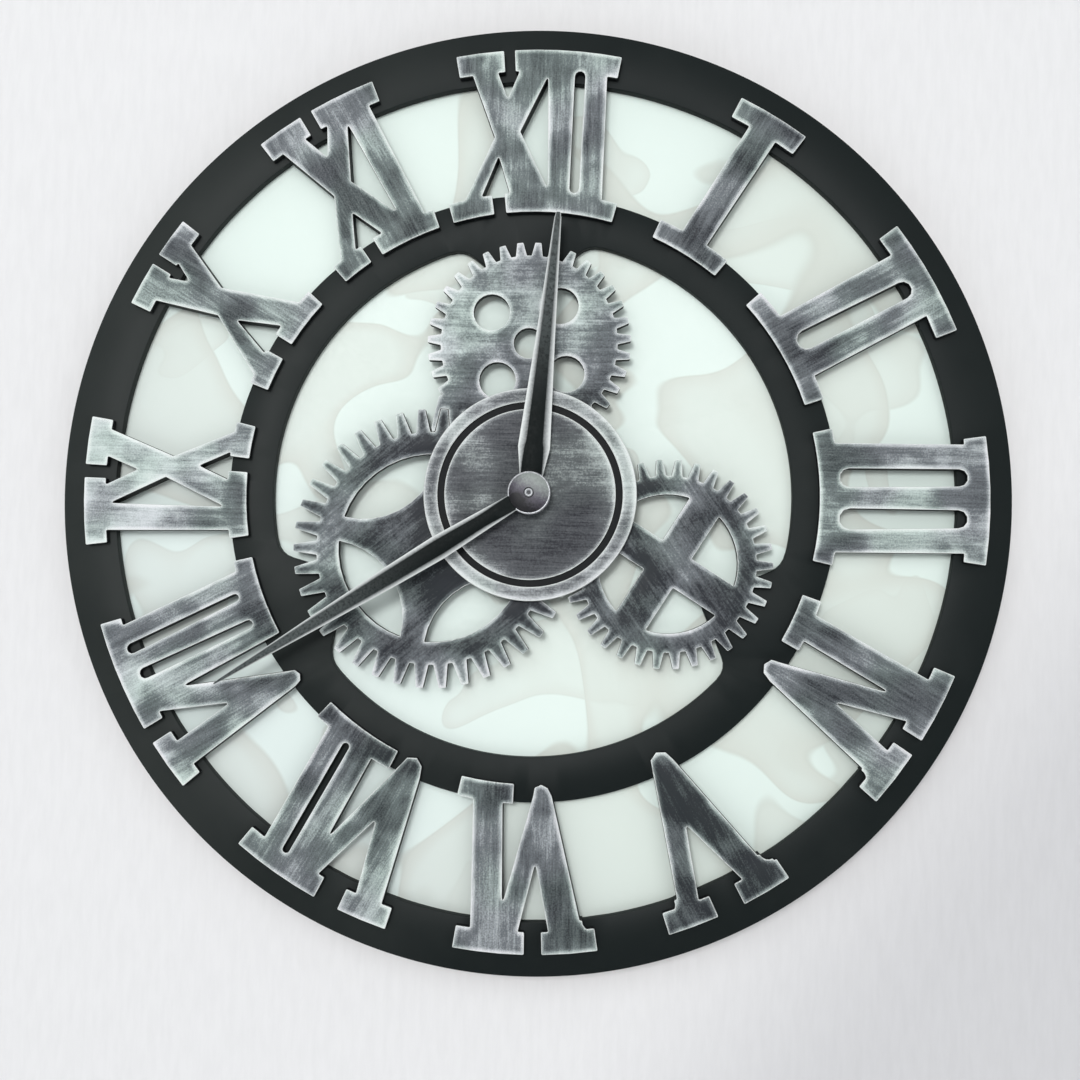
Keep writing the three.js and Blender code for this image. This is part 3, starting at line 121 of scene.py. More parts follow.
class Tree:
    """Adds nodes to a node tree, a few at a time."""

    def __init__(self, tree: NodeTree) -> None:
        """Takes a node tree that has its first nodes."""
        self.tree = tree

    def add(self, kind: str, inputs: dict[str | int, Feed] | None = None, **settings: str | int) -> Node:
        """Adds a node.

        Args:
            kind: The node's type, without its ShaderNode prefix.
            inputs: What its inputs take, by name or number.
            settings: Attributes set on the node.

        Returns:
            The node.
        """
        node = self.tree.nodes.new("ShaderNode" + kind)
        for key, value in settings.items():
            setattr(node, key, value)
        for key, value in (inputs or {}).items():
            self.put(node.inputs[key], value)
        return node

    def put(self, socket: NodeSocket, value: Feed) -> None:
        """Links an input to an output socket, or sets its value.

        Args:
            socket: The input.
            value: What it takes.
        """
        if isinstance(value, NodeSocket):
            self.tree.links.new(value, socket)
        else:
            socket.default_value = (*value, 1.0) if socket.type == "RGBA" else value

    def noise(self, vector: NodeSocket, scale: float, detail: float = 3.0, rough: float = 0.55,
              warp: float = 0.0) -> NodeSocket:
        """Gives a noise of some octaves of detail, the finer ones at a rough share, warped by distortion."""
        values = {"Vector": vector, "Scale": scale, "Detail": detail, "Roughness": rough, "Distortion": warp}
        return self.add("TexNoise", values).outputs[0]

    def ramp(self, factor: NodeSocket, *stops: tuple[float, Colour]) -> NodeSocket:
        """Maps a factor to colours.

        Args:
            factor: A number from 0 to 1.
            stops: Places and colours.

        Returns:
            The colour.
        """
        node = self.add("ValToRGB", {"Fac": factor})
        elements = node.color_ramp.elements
        while len(elements) < len(stops):
            elements.new(0.5)
        for element, (place, colour) in zip(elements, stops):
            element.position = place
            element.color = (*colour, 1.0)
        return node.outputs["Color"]

    def span(self, factor: NodeSocket, low: float, high: float, to_low: float = 0.0,
             to_high: float = 1.0) -> NodeSocket:
        """Maps a number softly from the range low to high to another, without leaving it."""
        values = {"Value": factor, "From Min": low, "From Max": high, "To Min": to_low, "To Max": to_high}
        return self.add("MapRange", values, interpolation_type="SMOOTHSTEP").outputs["Result"]

    def math(self, operation: str, first: Feed, second: Feed) -> NodeSocket:
        """Joins two numbers by an operation and keeps the result between 0 and 1."""
        return self.add("Math", {0: first, 1: second}, operation=operation, use_clamp=True).outputs[0]

    def total(self, base: float, *terms: tuple[NodeSocket, float]) -> NodeSocket:
        """Adds weighted factors that swing about one half to a base.

        Args:
            base: The result where each factor is one half.
            terms: Factors and their weights.

        Returns:
            The result.
        """
        result = base - 0.5 * sum(weight for _, weight in terms)
        for factor, weight in terms:
            result = self.add("Math", {0: factor, 1: weight, 2: result}, operation="MULTIPLY_ADD").outputs[0]
        return result

    def blend(self, factor: Feed, first: Feed, second: Feed, mode: str = "MIX") -> NodeSocket:
        """Mixes two colours, where the factor is the share of the second."""
        return self.add("Mix", {0: factor, 6: first, 7: second}, data_type="RGBA", blend_type=mode).outputs[2]


class Shader(Tree):
    """Builds the node tree of one material."""

    def __init__(self, name: str) -> None:
        """Starts a material with a plain surface.

        Args:
            name: The material's name.
        """
        self.material = bpy.data.materials.new(name)
        self.material.use_nodes = True
        super().__init__(self.material.node_tree)
        self.surface = self.tree.nodes["Principled BSDF"]

    def coat(self, colour: NodeSocket, rough: Feed, **values: float) -> None:
        """Sets colour, roughness and other plain values, named with underscores for spaces."""
        for key, value in {"Base Color": colour, "Roughness": rough, **values}.items():
            self.put(self.surface.inputs[key.replace("_", " ")], value)

    def by_grain(self, grain: NodeSocket, low: float, high: float) -> NodeSocket:
        """Gives a number that follows the usual swing of a noise."""
        return self.span(grain, NOISE_LOW, NOISE_HIGH, low, high)

    def plain(self) -> NodeSocket:
        """Gives the piece's own coordinates, in metres."""
        return self.add("TexCoord").outputs["Object"]

    def coords(self, degrees: float, scale: Triple = (1.0, 1.0, 1.0)) -> NodeSocket:
        """Gives the piece's own coordinates, turned about the dial's axis and then scaled.

        Args:
            degrees: The turn.
            scale: Factors along the turned axes.

        Returns:
            The coordinates.
        """
        turn = {"Vector": self.plain(), "Rotation": (0.0, math.radians(degrees), 0.0)}
        turned = self.add("Mapping", turn).outputs["Vector"]
        return self.add("Mapping", {"Vector": turned, "Scale": scale}).outputs["Vector"]

    def parts(self, degrees: float = 0.0) -> tuple[NodeSocket, ...]:
        """Gives X, Y and Z of the coordinates that are turned about the dial's axis."""
        return tuple(self.add("SeparateXYZ", {0: self.coords(degrees)}).outputs)

    def radius(self) -> NodeSocket:
        """Gives the distance from the dial's axis."""
        return self.add("VectorMath", {0: self.coords(0.0, (1.0, 0.0, 1.0))}, operation="LENGTH").outputs["Value"]

    def brushed(self, scale: Triple) -> NodeSocket:
        """Gives the scaled coordinates of the brush strokes: x across them and y along them."""
        strokes = self.add("UVMap", uv_map=BRUSH_MAP).outputs["UV"]
        return self.add("Mapping", {"Vector": strokes, "Scale": scale}).outputs["Vector"]

    def softened(self, radius: float) -> NodeSocket:
        """Gives the normal of edges that are rounded by a radius."""
        return self.add("Bevel", {"Radius": radius}, samples=BEVEL_SAMPLES).outputs[0]

    def wear(self, reach: float) -> NodeSocket:
        """Gives the share of worn edge, from 1 at a front edge to 0 at a distance of reach from it."""
        front = self.add("SeparateXYZ", {0: self.softened(reach)}).outputs["Y"]
        return self.span(front, -0.992, -0.86)

    def bump(self, height: NodeSocket, strength: float, depth: float, soften: float = 0.0) -> None:
        """Roughens the surface's normal.

        Args:
            height: Height factor.
            strength: Share of the effect.
            depth: Real depth in metres.
            soften: Radius of the softened edges, in metres.
        """
        node = self.add("Bump", {"Height": height, "Strength": strength, "Distance": depth})
        if soften:
            self.put(node.inputs["Normal"], self.softened(soften))
        self.put(self.surface.inputs["Normal"], node.outputs["Normal"])


# Finishes


class Finish(ABC):
    """What all finishes share: a name, and a material that is painted by nodes."""

    name: str

    def build(self) -> Material:
        """Makes the material.

        Returns:
            The material.
        """
        shader = Shader(self.name)
        self.paint(shader)
        return shader.material

    @abstractmethod
    def paint(self, s: Shader) -> None:
        """Adds the finish's nodes to its material."""


@dataclass(frozen=True)
class AntiqueSilver(Finish):
    """Silver dry-brushed over black on board, paler at the worn edges, with painted light and shade that change with
    the distance from the dial's axis.
    """

    name: str
    direction: Direction
    dark: Colour = (0.018, 0.022, 0.026)
    mid: Colour = (0.142, 0.165, 0.168)
    light: Colour = (0.505, 0.572, 0.555)
    edge: Colour = (0.790, 0.830, 0.810)
    warm: Colour = (1.03, 0.98, 1.04)
    cool: Colour = (0.97, 1.02, 0.99)
    slope: float = 0.0
    # Painted light and shade: paleness added at inner_r and outer_r and blended between them by radius
    inner_pale: float = 0.0
    outer_pale: float = 0.0
    inner_r: float = 0.135
    outer_r: float = 0.225
    along: float = 62.0
    across: float = 980.0
    coarse: float = 0.3
    reach: float = 1.2 * MM
    rub: float = 4.2 * MM
    level: float = 0.44
    smudge: float = 34.0
    cloud: float = 0.22
    cast: float = 21.0
    speck: float = 1150.0
    rough: Point2 = (0.62, 0.44)

    def strokes(self, s: Shader, share: float) -> NodeSocket:
        """Gives the coordinates of the brush marks.

        Args:
            s: The material being painted.
            share: Share of the full fineness.

        Returns:
            The coordinates.
        """
        across, along = self.across * share, self.along * share
        if self.direction is Direction.STROKE:
            return s.brushed((across, along, 1.0))
        return s.coords(self.slope if self.direction is Direction.SLOPED else 0.0, (along, 1.0, across))

    def paint(self, s: Shader) -> None:
        """Brushes and smudges the silver, paints light and shade by radius, casts it warm and cool, and rubs its
        edges.

        Args:
            s: The material being painted.
        """
        coarse = s.noise(self.strokes(s, self.coarse), 1.0, 4.0, 0.6)
        fine = s.noise(self.strokes(s, 1.0), 1.0, 3.0, 0.7)
        smudge = s.span(s.noise(s.plain(), self.smudge, 3.0, 0.5), 0.36, 0.66)
        speck = s.noise(s.plain(), self.speck, 2.0, 0.6)
        # Painted light and shade by radius, from inner_pale at inner_r to outer_pale at outer_r
        place = s.span(s.radius(), self.inner_r, self.outer_r, self.inner_pale + 0.5, self.outer_pale + 0.5)
        tone = s.total(self.level, (coarse, 0.30), (fine, 0.26), (smudge, self.cloud), (speck, 0.28), (place, 1.0))
        rubbed = s.math("MULTIPLY", s.wear(self.rub), s.span(smudge, 0.0, 1.0, 0.25, 0.42))
        tone = s.math("ADD", tone, rubbed)
        silver = s.ramp(tone, (0.28, self.dark), (0.51, self.mid), (0.72, self.light), (0.98, self.edge))
        cast = s.blend(s.span(s.noise(s.plain(), self.cast, 2.0, 0.5), 0.38, 0.62), self.warm, self.cool)
        silver = s.blend(1.0, silver, cast, "MULTIPLY")
        worn = s.math("MULTIPLY", s.wear(self.reach), s.span(fine, 0.25, 0.62, 0.35, 1.0))
        s.coat(s.blend(worn, silver, self.edge), s.by_grain(fine, *self.rough), Metallic=0.05,
               Specular_IOR_Level=0.2)
        s.bump(fine, 0.4, 0.12 * MM)


@dataclass(frozen=True)
class BlackLacquer(Finish):
    """Satin black lacquer on board, with faint unevenness, and painted light that makes it a little lighter to the
    left.
    """

    name: str = "black_lacquer"
    low: Colour = (0.0065, 0.0100, 0.0100)
    high: Colour = (0.0270, 0.0315, 0.0300)
    # Painted light: X in metres where the lacquer starts to lighten, and where it is lightest, towards the left
    painted_shade_x: float = 0.06
    painted_light_x: float = -0.26

    def paint(self, s: Shader) -> None:
        """Clouds the black and paints light on it towards one side.

        Args:
            s: The material being painted.
        """
        cloud = s.noise(s.plain(), 9.0, 4.0, 0.55)
        # Painted light: a share that grows towards the left and lightens the black there
        side = s.span(s.parts()[0], self.painted_shade_x, self.painted_light_x)
        tone = s.total(0.48, (side, 0.55), (cloud, 1.0))
        s.coat(s.ramp(tone, (0.2, self.low), (0.95, self.high)), s.by_grain(cloud, 0.42, 0.52),
               Specular_IOR_Level=0.10)
        s.bump(s.noise(s.plain(), 1500.0, 2.0, 0.5), 0.12, 0.08 * MM)


@dataclass(frozen=True)
class MottledPanel(Finish):
    """Pale mint lacquer with soft overlapping clouds of warm grey, and painted cool shade towards one side."""

    name: str = "mottled_mint"
    mint: Colour = (0.735, 0.840, 0.788)
    cloud: Colour = (0.620, 0.660, 0.600)
    rim: Colour = (0.945, 0.950, 0.945)
    # Tint of the painted shade towards the left side
    cool: Colour = (0.945, 0.915, 1.0)
    painted_shade_turn: float = 35.0

    def patch(self, s: Shader, offset: float, scale: float, level: float) -> tuple[NodeSocket, NodeSocket]:
        """Makes one layer of clouds with thin rims.

        Args:
            s: The material being painted.
            offset: Shift that gives this layer its own layout.
            scale: Frequency.
            level: Level at which a cloud begins.

        Returns:
            The share of cloud and the share of rim.
        """
        shift = {"Vector": s.plain(), "Location": (offset, 0.0, offset * 0.7)}
        height = s.noise(s.add("Mapping", shift).outputs["Vector"], scale, 1.0, 0.4, 0.8)
        inside = s.span(height, level - 0.004, level + 0.012)
        fade = s.span(height, level, level + 0.10, 1.0, 0.55)
        line = s.math("SUBTRACT", inside, s.span(height, level + 0.004, level + 0.020))
        return s.math("MULTIPLY", inside, fade), line

    def paint(self, s: Shader) -> None:
        """Lays the second layer of clouds where the first leaves the mint free, and paints cool shade towards one
        side.

        Args:
            s: The material being painted.
        """
        first, first_line = self.patch(s, 0.31, 10.0, 0.53)
        second, second_line = self.patch(s, 1.73, 14.0, 0.57)
        free = s.math("SUBTRACT", 1.0, first)
        colour = s.blend(s.math("MULTIPLY", first, 0.85), self.mint, self.cloud)
        colour = s.blend(s.math("MULTIPLY", s.math("MULTIPLY", second, free), 0.6), colour, self.cloud)
        line = s.math("MAXIMUM", first_line, s.math("MULTIPLY", second_line, free))
        colour = s.blend(line, colour, self.rim, "MULTIPLY")
        # Painted shade: a cool, slightly darker tint that grows towards the left of the turned X axis
        side = s.span(s.parts(self.painted_shade_turn)[0], -0.02, -0.22, 0.0, 0.35)
        grain = s.noise(s.plain(), 420.0, 2.0)
        s.coat(s.blend(side, colour, self.cool, "MULTIPLY"), s.by_grain(grain, 0.5, 0.62))
        s.bump(grain, 0.08, 0.1 * MM)


@dataclass(frozen=True)
class RawBoard(Finish):
    """Unpainted fibreboard on hidden sides."""

    name: str = "raw_board"
    low: Colour = (0.235, 0.145, 0.075)
    high: Colour = (0.375, 0.255, 0.150)

    def paint(self, s: Shader) -> None:
        """Mixes fibres and stains.

        Args:
            s: The material being painted.
        """
        fibre = s.noise(s.plain(), 900.0, 5.0, 0.75)
        stain = s.noise(s.plain(), 13.0, 4.0, 0.6)
        tone = s.total(0.5, (fibre, 0.9), (stain, 0.45))
        s.coat(s.ramp(tone, (0.3, self.low), (0.7, self.high)), s.by_grain(fibre, 0.75, 0.9))
        s.bump(fibre, 0.25, 0.15 * MM)


@dataclass(frozen=True)
class Solid(Finish):
    """One colour with a fine grain, for plastics, rubbers, metals and lacquers."""

    name: str
    colour: Colour
    roughness: float
    metallic: float = 0.0
    grain: float = 900.0
    depth: float = 0.05 * MM
    contrast: float = 0.12
    specular: float = 0.5
    soften: float = 0.0

    def paint(self, s: Shader) -> None:
        """Lets the grain shade and tint the colour.

        Args:
            s: The material being painted.
        """
        speck = s.noise(s.plain(), self.grain, 3.0)
        shade = tuple(c * (1.0 - self.contrast) for c in self.colour)
        tint = tuple(min(1.0, c * (1.0 + self.contrast)) for c in self.colour)
        rough = s.by_grain(speck, self.roughness - 0.05, self.roughness + 0.05)
        s.coat(s.ramp(speck, (0.35, shade), (0.65, tint)), rough, Metallic=self.metallic,
               Specular_IOR_Level=self.specular)
        s.bump(speck, 0.2, self.depth, self.soften)


@dataclass(frozen=True)
class HandBand(Finish):
    """Black band of a hand, which fades to rubbed grey towards the tip."""

    name: str
    fade_from: float
    fade_to: float
    near: Colour = (0.0045, 0.0070, 0.0070)
    far: Colour = (0.085, 0.098, 0.098)

    def paint(self, s: Shader) -> None:
        """Fades the black along the blade, in grains.

        Args:
            s: The material being painted.
        """
        grain = s.noise(s.plain(), 700.0, 3.0, 0.6)
        fade = s.span(s.radius(), self.fade_from, self.fade_to)
        share = s.math("MULTIPLY", fade, s.span(grain, 0.3, 0.6, 0.35, 1.0))
        s.coat(s.blend(share, self.near, self.far), s.by_grain(grain, 0.40, 0.52), Specular_IOR_Level=0.05)
        s.bump(grain, 0.2, 0.06 * MM)


@dataclass(frozen=True)
class HandBevel(Finish):
    """Bright bevel of a hand, which darkens from its outer edge towards the black band."""

    name: str
    outer_depth: float
    inner_depth: float
    bright: Colour = (0.60, 0.63, 0.62)
    grey: Colour = (0.30, 0.32, 0.32)
    dark: Colour = (0.030, 0.036, 0.036)

    def paint(self, s: Shader) -> None:
        """Darkens the bevel as it rises, in grains.

        Args:
            s: The material being painted.
        """
        grain = s.noise(s.plain(), 900.0, 3.0)
        height = {"Value": s.parts()[1], "From Min": -self.outer_depth, "From Max": -self.inner_depth}
        rise = s.add("MapRange", height).outputs["Result"]
        share = s.total(0.5, (rise, 1.0), (grain, 0.25))
        colour = s.ramp(share, (0.15, self.bright), (0.55, self.grey), (0.98, self.dark))
        s.coat(colour, s.by_grain(grain, 0.45, 0.55), Metallic=0.15)
        s.bump(grain, 0.2, 0.05 * MM)


@dataclass(frozen=True)
class HubPaint(Finish):
    """Rubbed grey of a domed hub, with painted light that makes it lighter to the upper right and darker below; black
    where the blade's band runs in.
    """

    hand_angle: float
    name: str = "hub_painted_light_grey"
    dark: Colour = (0.010, 0.010, 0.012)
    mid: Colour = (0.085, 0.080, 0.100)
    light: Colour = (0.285, 0.315, 0.300)
    reach: float = 11.5 * MM
    turn: float = 62.0
    wedge_half: float = 4.2 * MM
    wedge_from: float = 2.0 * MM
    wedge_to: float = 9.0 * MM

    def paint(self, s: Shader) -> None:
        """Paints light and shade across the hub towards one side and darkens a wedge in line with the blade.

        Args:
            s: The material being painted.
        """
        speck = s.noise(s.plain(), 900.0, 3.0, 0.6)
        # Painted light and shade: lighter towards the upper right, darker towards the lower left
        share = s.total(0.46, (s.span(s.parts(self.turn)[0], -self.reach, self.reach), 1.05), (speck, 0.6))
        along, _, aside = s.parts(90.0 - self.hand_angle)
        across = s.add("Math", {0: aside}, operation="ABSOLUTE").outputs[0]
        wedge = s.math("MULTIPLY", s.span(across, self.wedge_half, 0.4 * self.wedge_half),
                       s.span(along, self.wedge_from, self.wedge_to))
        share = s.math("SUBTRACT", share, s.math("MULTIPLY", wedge, 0.7))
        colour = s.ramp(share, (0.05, self.dark), (0.45, self.mid), (0.95, self.light))
        s.coat(colour, s.by_grain(speck, 0.46, 0.56), Metallic=0.1, Specular_IOR_Level=0.3)
        s.bump(speck, 0.25, 0.06 * MM)


@dataclass(frozen=True)
class PlainWall(Finish):
    """Pale wall of the stage with a faint upright weave and a painted shadow in its lower right corner. Its rear side
    lets the camera and light through.
    """

    name: str = "stage_wall"
    colour: Colour = (0.775, 0.778, 0.785)
    thread: float = 0.965
    shade: float = 0.80
    shade_turn: float = -38.0
    gap: float = 0.035

    def rear_way(self, s: Shader) -> NodeSocket:
        """Gives the share of rays that pass the wall, so that the clock's rear is lit when seen from behind.

        Args:
            s: The material being painted.

        Returns:
            The share.
        """
        ray = s.add("LightPath").outputs
        near = s.math("LESS_THAN", ray["Ray Length"], self.gap)
        first = s.math("MULTIPLY", near, s.math("LESS_THAN", ray["Diffuse Depth"], 1.5))
        around = s.math("MULTIPLY", first, s.math("SUBTRACT", 1.0, ray["Is Camera Ray"]))
        passing = s.math("MAXIMUM", around, ray["Is Shadow Ray"])
        return s.math("MAXIMUM", passing, s.add("NewGeometry").outputs["Backfacing"])

    def paint(self, s: Shader) -> None:
        """Weaves the wall, shades its lower right corner and opens its rear side.

        Args:
            s: The material being painted.
        """
        weave = s.noise(s.coords(0.0, (260.0, 1.0, 46.0)), 1.0, 4.0, 0.6)
        threads = tuple(c * self.thread for c in self.colour)
        colour = s.ramp(weave, (0.35, threads), (0.62, self.colour))
        # Painted shadow of the clock, darkening the wall's lower right corner
        corner = s.span(s.parts(self.shade_turn)[0], 0.20, 0.33)
        s.coat(s.blend(corner, colour, (self.shade, self.shade, self.shade + 0.01), "MULTIPLY"), 0.9)
        s.bump(weave, 0.12, 0.6 * MM)
        clear = s.add("BsdfTransparent").outputs[0]
        both = s.add("MixShader", {0: self.rear_way(s), 1: s.surface.outputs[0], 2: clear}).outputs[0]
        s.put(s.tree.nodes["Material Output"].inputs["Surface"], both)


# Helpers for meshes


def turn_about(degrees: float, axis: str) -> Matrix:
    """Gives a turn by degrees about X, Y or Z."""
    return Matrix.Rotation(math.radians(degrees), 4, axis)


def rim_of(bm: BMesh) -> list[BMEdge]:
    """Gives the edges that have one face."""
    return [edge for edge in bm.edges if len(edge.link_faces) == 1]


def points_of(made: list[BMVert | BMEdge | BMFace]) -> list[BMVert]:
    """Gives the points among the items that an operator made."""
    return [item for item in made if isinstance(item, BMVert)]


def settle(bm: BMesh) -> None:
    """Turns a mesh's faces outwards."""
    bmesh.ops.recalc_face_normals(bm, faces=bm.faces)
    bm.normal_update()


def dial_point(across: float, up: float, depth: float) -> Vector:
    """Turns millimetres to the right, upwards and from the wall into the part's frame in metres."""
    return Vector((across, -depth, up)) * MM


def store(bm: BMesh, name: str, materials: list[Material]) -> Object:
    """Makes a finished mesh an object at the origin, shaded smooth between its sharp edges.

    Args:
        bm: The mesh, which is freed.
        name: The object's name.
        materials: Its material slots.

    Returns:
        The object.
    """
    for face in bm.faces:
        face.smooth = True
    for edge in bm.edges:
        edge.smooth = len(edge.link_faces) == 2 and edge.calc_face_angle(math.pi) < SMOOTH_BELOW
    mesh = bpy.data.meshes.new(name)
    bm.to_mesh(mesh)
    bm.free()
    for material in materials:
        mesh.materials.append(material)
    piece = bpy.data.objects.new(name, mesh)
    bpy.context.scene.collection.objects.link(piece)
    return piece


def body_of(node: str) -> str:
    """Gives the name of the body that a node rides on."""
    bodies = frame["record"]["behaviour"]["bodies"]
    return next(body for body, members in bodies.items() if node in members)


def stand_for(piece: Object, node: str) -> None:
    """Lets a piece take the place of a node, on its body, and hides the node.

    Args:
        piece: The new piece.
        node: The node that it stands for.
    """
    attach(piece, body_of(node))
    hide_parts(node)
    LOG.info("%s stands for %s: %d faces", piece.name, node, len(piece.data.polygons))


def front_outline(node: str) -> BMesh:
    """Takes the outline of a board's front face, as loops of edges without faces.

    Args:
        node: The board's node.

    Returns:
        The outline.
    """
    bm = bmesh.new()
    bm.from_mesh(frame["nodes"][node].data)
    bmesh.ops.remove_doubles(bm, verts=bm.verts, dist=WELD)
    level = min(v.co.y for v in bm.verts)
    rest = [f for f in bm.faces if f.calc_center_median().y > level + FRONT_SLACK]
    bmesh.ops.delete(bm, geom=rest, context="FACES")
    inner = [e for e in bm.edges if len(e.link_faces) == 2]
    bmesh.ops.delete(bm, geom=bm.faces[:], context="FACES_ONLY")
    bmesh.ops.delete(bm, geom=inner, context="EDGES")
    return bm


def corner_angle(vert: BMVert) -> float:
    """Gives the turn of an outline at one of its points, in radians."""
    arms = [edge.other_vert(vert).co - vert.co for edge in vert.link_edges]
    return math.pi - arms[0].angle(arms[1]) if len(arms) == 2 else 0.0


def fill(bm: BMesh, edges: list[BMEdge]) -> list[BMFace]:
    """Fills loops, with their holes, by faces that look at the viewer.

    Args:
        bm: The mesh.
        edges: The loops.

    Returns:
        The faces.
    """
    before = {edge: len(edge.link_faces) for edge in edges}
    made = bmesh.ops.triangle_fill(bm, use_beauty=True, edges=edges)
    faces = [item for item in made["geom"] if isinstance(item, BMFace)]
    missed = [item for item in made["geom"]
              if isinstance(item, BMEdge) and item not in before and len(item.link_faces) == 1]
    if missed:
        missed += [edge for edge, count in before.items() if len(edge.link_faces) == count]
        faces += bmesh.ops.holes_fill(bm, edges=missed, sides=0)["faces"]
    for face in faces:
        face.normal_update()
        if face.normal.y > 0.0:
            face.normal_flip()
    return faces


@dataclass
class BoardCut:
    """How a flat board is refined from its outline.

    Attributes:
        rings: Whether round stretches about the dial's axis get more points.
        radius: Radius of the outline's corners, or zero for sharp corners.
        sharp: Least turn of a corner that is rounded, in degrees.
        ease: Width of the eased front edge.
        hour: Hour line that the brush follows.
        ease_steps: Shares of the ease's width and height in each of its bands.
        round_cuts: Points added to each edge of a round stretch.
        shortest_edge: Least length of such an edge.
        longest_turn: Largest turn of such an edge about the axis, in radians. A longer one is straight.
        level_radii: Most that the radii at its two ends differ.
        stub: Length of an edge that is too short to have rounded ends, and is dropped.
        room: Share of a corner's shorter edge that its rounding may take.
        corner_cuts: Edges of a rounded corner.
        corner_weld: Distance at which two roundings meet.
        band_weld: Share of a band's width at which its inner points meet.
    """

    rings: bool = False
    radius: float = 0.65 * MM
    sharp: float = 18.0
    ease: float = 0.4 * MM
    hour: int = 0
    ease_steps: tuple[Point2, ...] = ((0.3, 0.7), (0.7, 0.3))
    round_cuts: int = 3
    shortest_edge: float = 3.0 * MM
    longest_turn: float = 0.09
    level_radii: float = 0.02 * MM
    stub: float = 0.45 * MM
    room: float = 0.46
    corner_cuts: int = 4
    corner_weld: float = 0.005 * MM
    band_weld: float = 0.1

    def refine(self, node: str, materials: list[Material]) -> Object:
        """Makes the refined board that stands for a node.

        Args:
            node: The node's name.
            materials: Front, side and rear materials.

        Returns:
            The piece.
        """
        low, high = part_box(node)
        bm = front_outline(node)
        if self.rings:
            self.round_stretches(bm)
        if self.radius:
            self.round_corners(bm)
        front = fill(bm, bm.edges[:])
        for width, height in self.ease_steps:
            front = self.inset(bm, front, width * self.ease, height * self.ease)
        self.close_rear(bm, low.y, high.y)
        self.lay_brush(bm)
        for face in bm.faces:
            facing = face.normal.y
            face.material_index = (BoardSlot.FRONT if facing < -UPRIGHT else
                                   BoardSlot.REAR if facing > LEVEL else BoardSlot.SIDE)
        piece = store(bm, node + "_board", materials)
        stand_for(piece, node)
        return piece

    def round_stretches(self, bm: BMesh) -> None:
        """Adds points to the round stretches about the dial's axis.

        Args:
            bm: The outline.
        """
        spots = {v: math.hypot(v.co.x, v.co.z) for v in bm.verts}
        even = [e for e in bm.edges if abs(spots[e.verts[0]] - spots[e.verts[1]]) < self.level_radii]
        radii = {e: spots[e.verts[0]] for e in even
                 if self.shortest_edge < e.calc_length() < self.longest_turn * spots[e.verts[0]]}
        for edge, radius in radii.items():
            made = bmesh.ops.subdivide_edges(bm, edges=[edge], cuts=self.round_cuts)
            for point in points_of(made["geom_inner"]):
                spoke = Vector((point.co.x, 0.0, point.co.z)).normalized() * radius
                point.co.x, point.co.z = spoke.x, spoke.z

    def round_corners(self, bm: BMesh) -> None:
        """Rounds each corner of the outline, as far as its shorter edge allows.

        Args:
            bm: The outline.
        """
        stubs = [e for e in bm.edges if e.calc_length() < self.stub]
        bmesh.ops.collapse(bm, edges=stubs)
        slivers = [v for v in bm.verts if len(v.link_edges) < 2]
        bmesh.ops.delete(bm, geom=slivers, context="VERTS")
        corners = [v for v in bm.verts if corner_angle(v) > math.radians(self.sharp)]
        room = {v: self.room * min(e.calc_length() for e in v.link_edges) for v in corners}
        turns = {v: corner_angle(v) for v in corners}
        for vert in corners:
            offset = min(room[vert], self.radius * math.tan(0.5 * turns[vert]))
            bmesh.ops.bevel(bm, geom=[vert], offset=offset, offset_type="ABSOLUTE", affect="VERTICES",
                            segments=self.corner_cuts, profile=0.5, material=-1, clamp_overlap=False)
        bmesh.ops.remove_doubles(bm, verts=bm.verts, dist=self.corner_weld)

    def inset(self, bm: BMesh, front: list[BMFace], width: float, height: float) -> list[BMFace]:
        """Insets the front, raises it and fills it afresh.

        Args:
            bm: The mesh.
            front: The faces of the front.
            width: Width of the new band.
            height: How far the front moves towards the viewer.

        Returns:
            The new faces of the front.
        """
        bmesh.ops.inset_region(bm, faces=front, thickness=width, use_even_offset=True, use_boundary=True)
        front = [f for f in front if f.is_valid]
        inner = {v for f in front for v in f.verts}
        for vert in inner:
            vert.co.y -= height
        bmesh.ops.delete(bm, geom=front, context="FACES")
        bmesh.ops.remove_doubles(bm, verts=[v for v in inner if v.is_valid], dist=self.band_weld * width)
        kept = {v for v in inner if v.is_valid}
        return fill(bm, [e for e in rim_of(bm) if kept.issuperset(e.verts)])

    def close_rear(self, bm: BMesh, front: float, rear: float) -> None:
        """Lowers the board to its place, and adds its sides and its rear.

        Args:
            bm: The mesh.
            front: Y of the front face.
            rear: Y of the rear face.
        """
        shift = front - min(v.co.y for v in bm.verts)
        bmesh.ops.translate(bm, verts=bm.verts, vec=(0.0, shift, 0.0))
        for point in points_of(bmesh.ops.extrude_edge_only(bm, edges=rim_of(bm))["geom"]):
            point.co.y = rear
        bmesh.ops.triangle_fill(bm, use_beauty=True, edges=rim_of(bm))
        settle(bm)

    def lay_brush(self, bm: BMesh) -> None:
        """Stores brush coordinates: x across the hour line and y along it.

        Args:
            bm: The mesh.
        """
        layer = bm.loops.layers.uv.new(BRUSH_MAP)
        turn = Matrix.Rotation(math.tau * self.hour / HOURS, 2)
        for face in bm.faces:
            for loop in face.loops:
                loop[layer].uv = turn @ Vector((loop.vert.co.x, loop.vert.co.z))


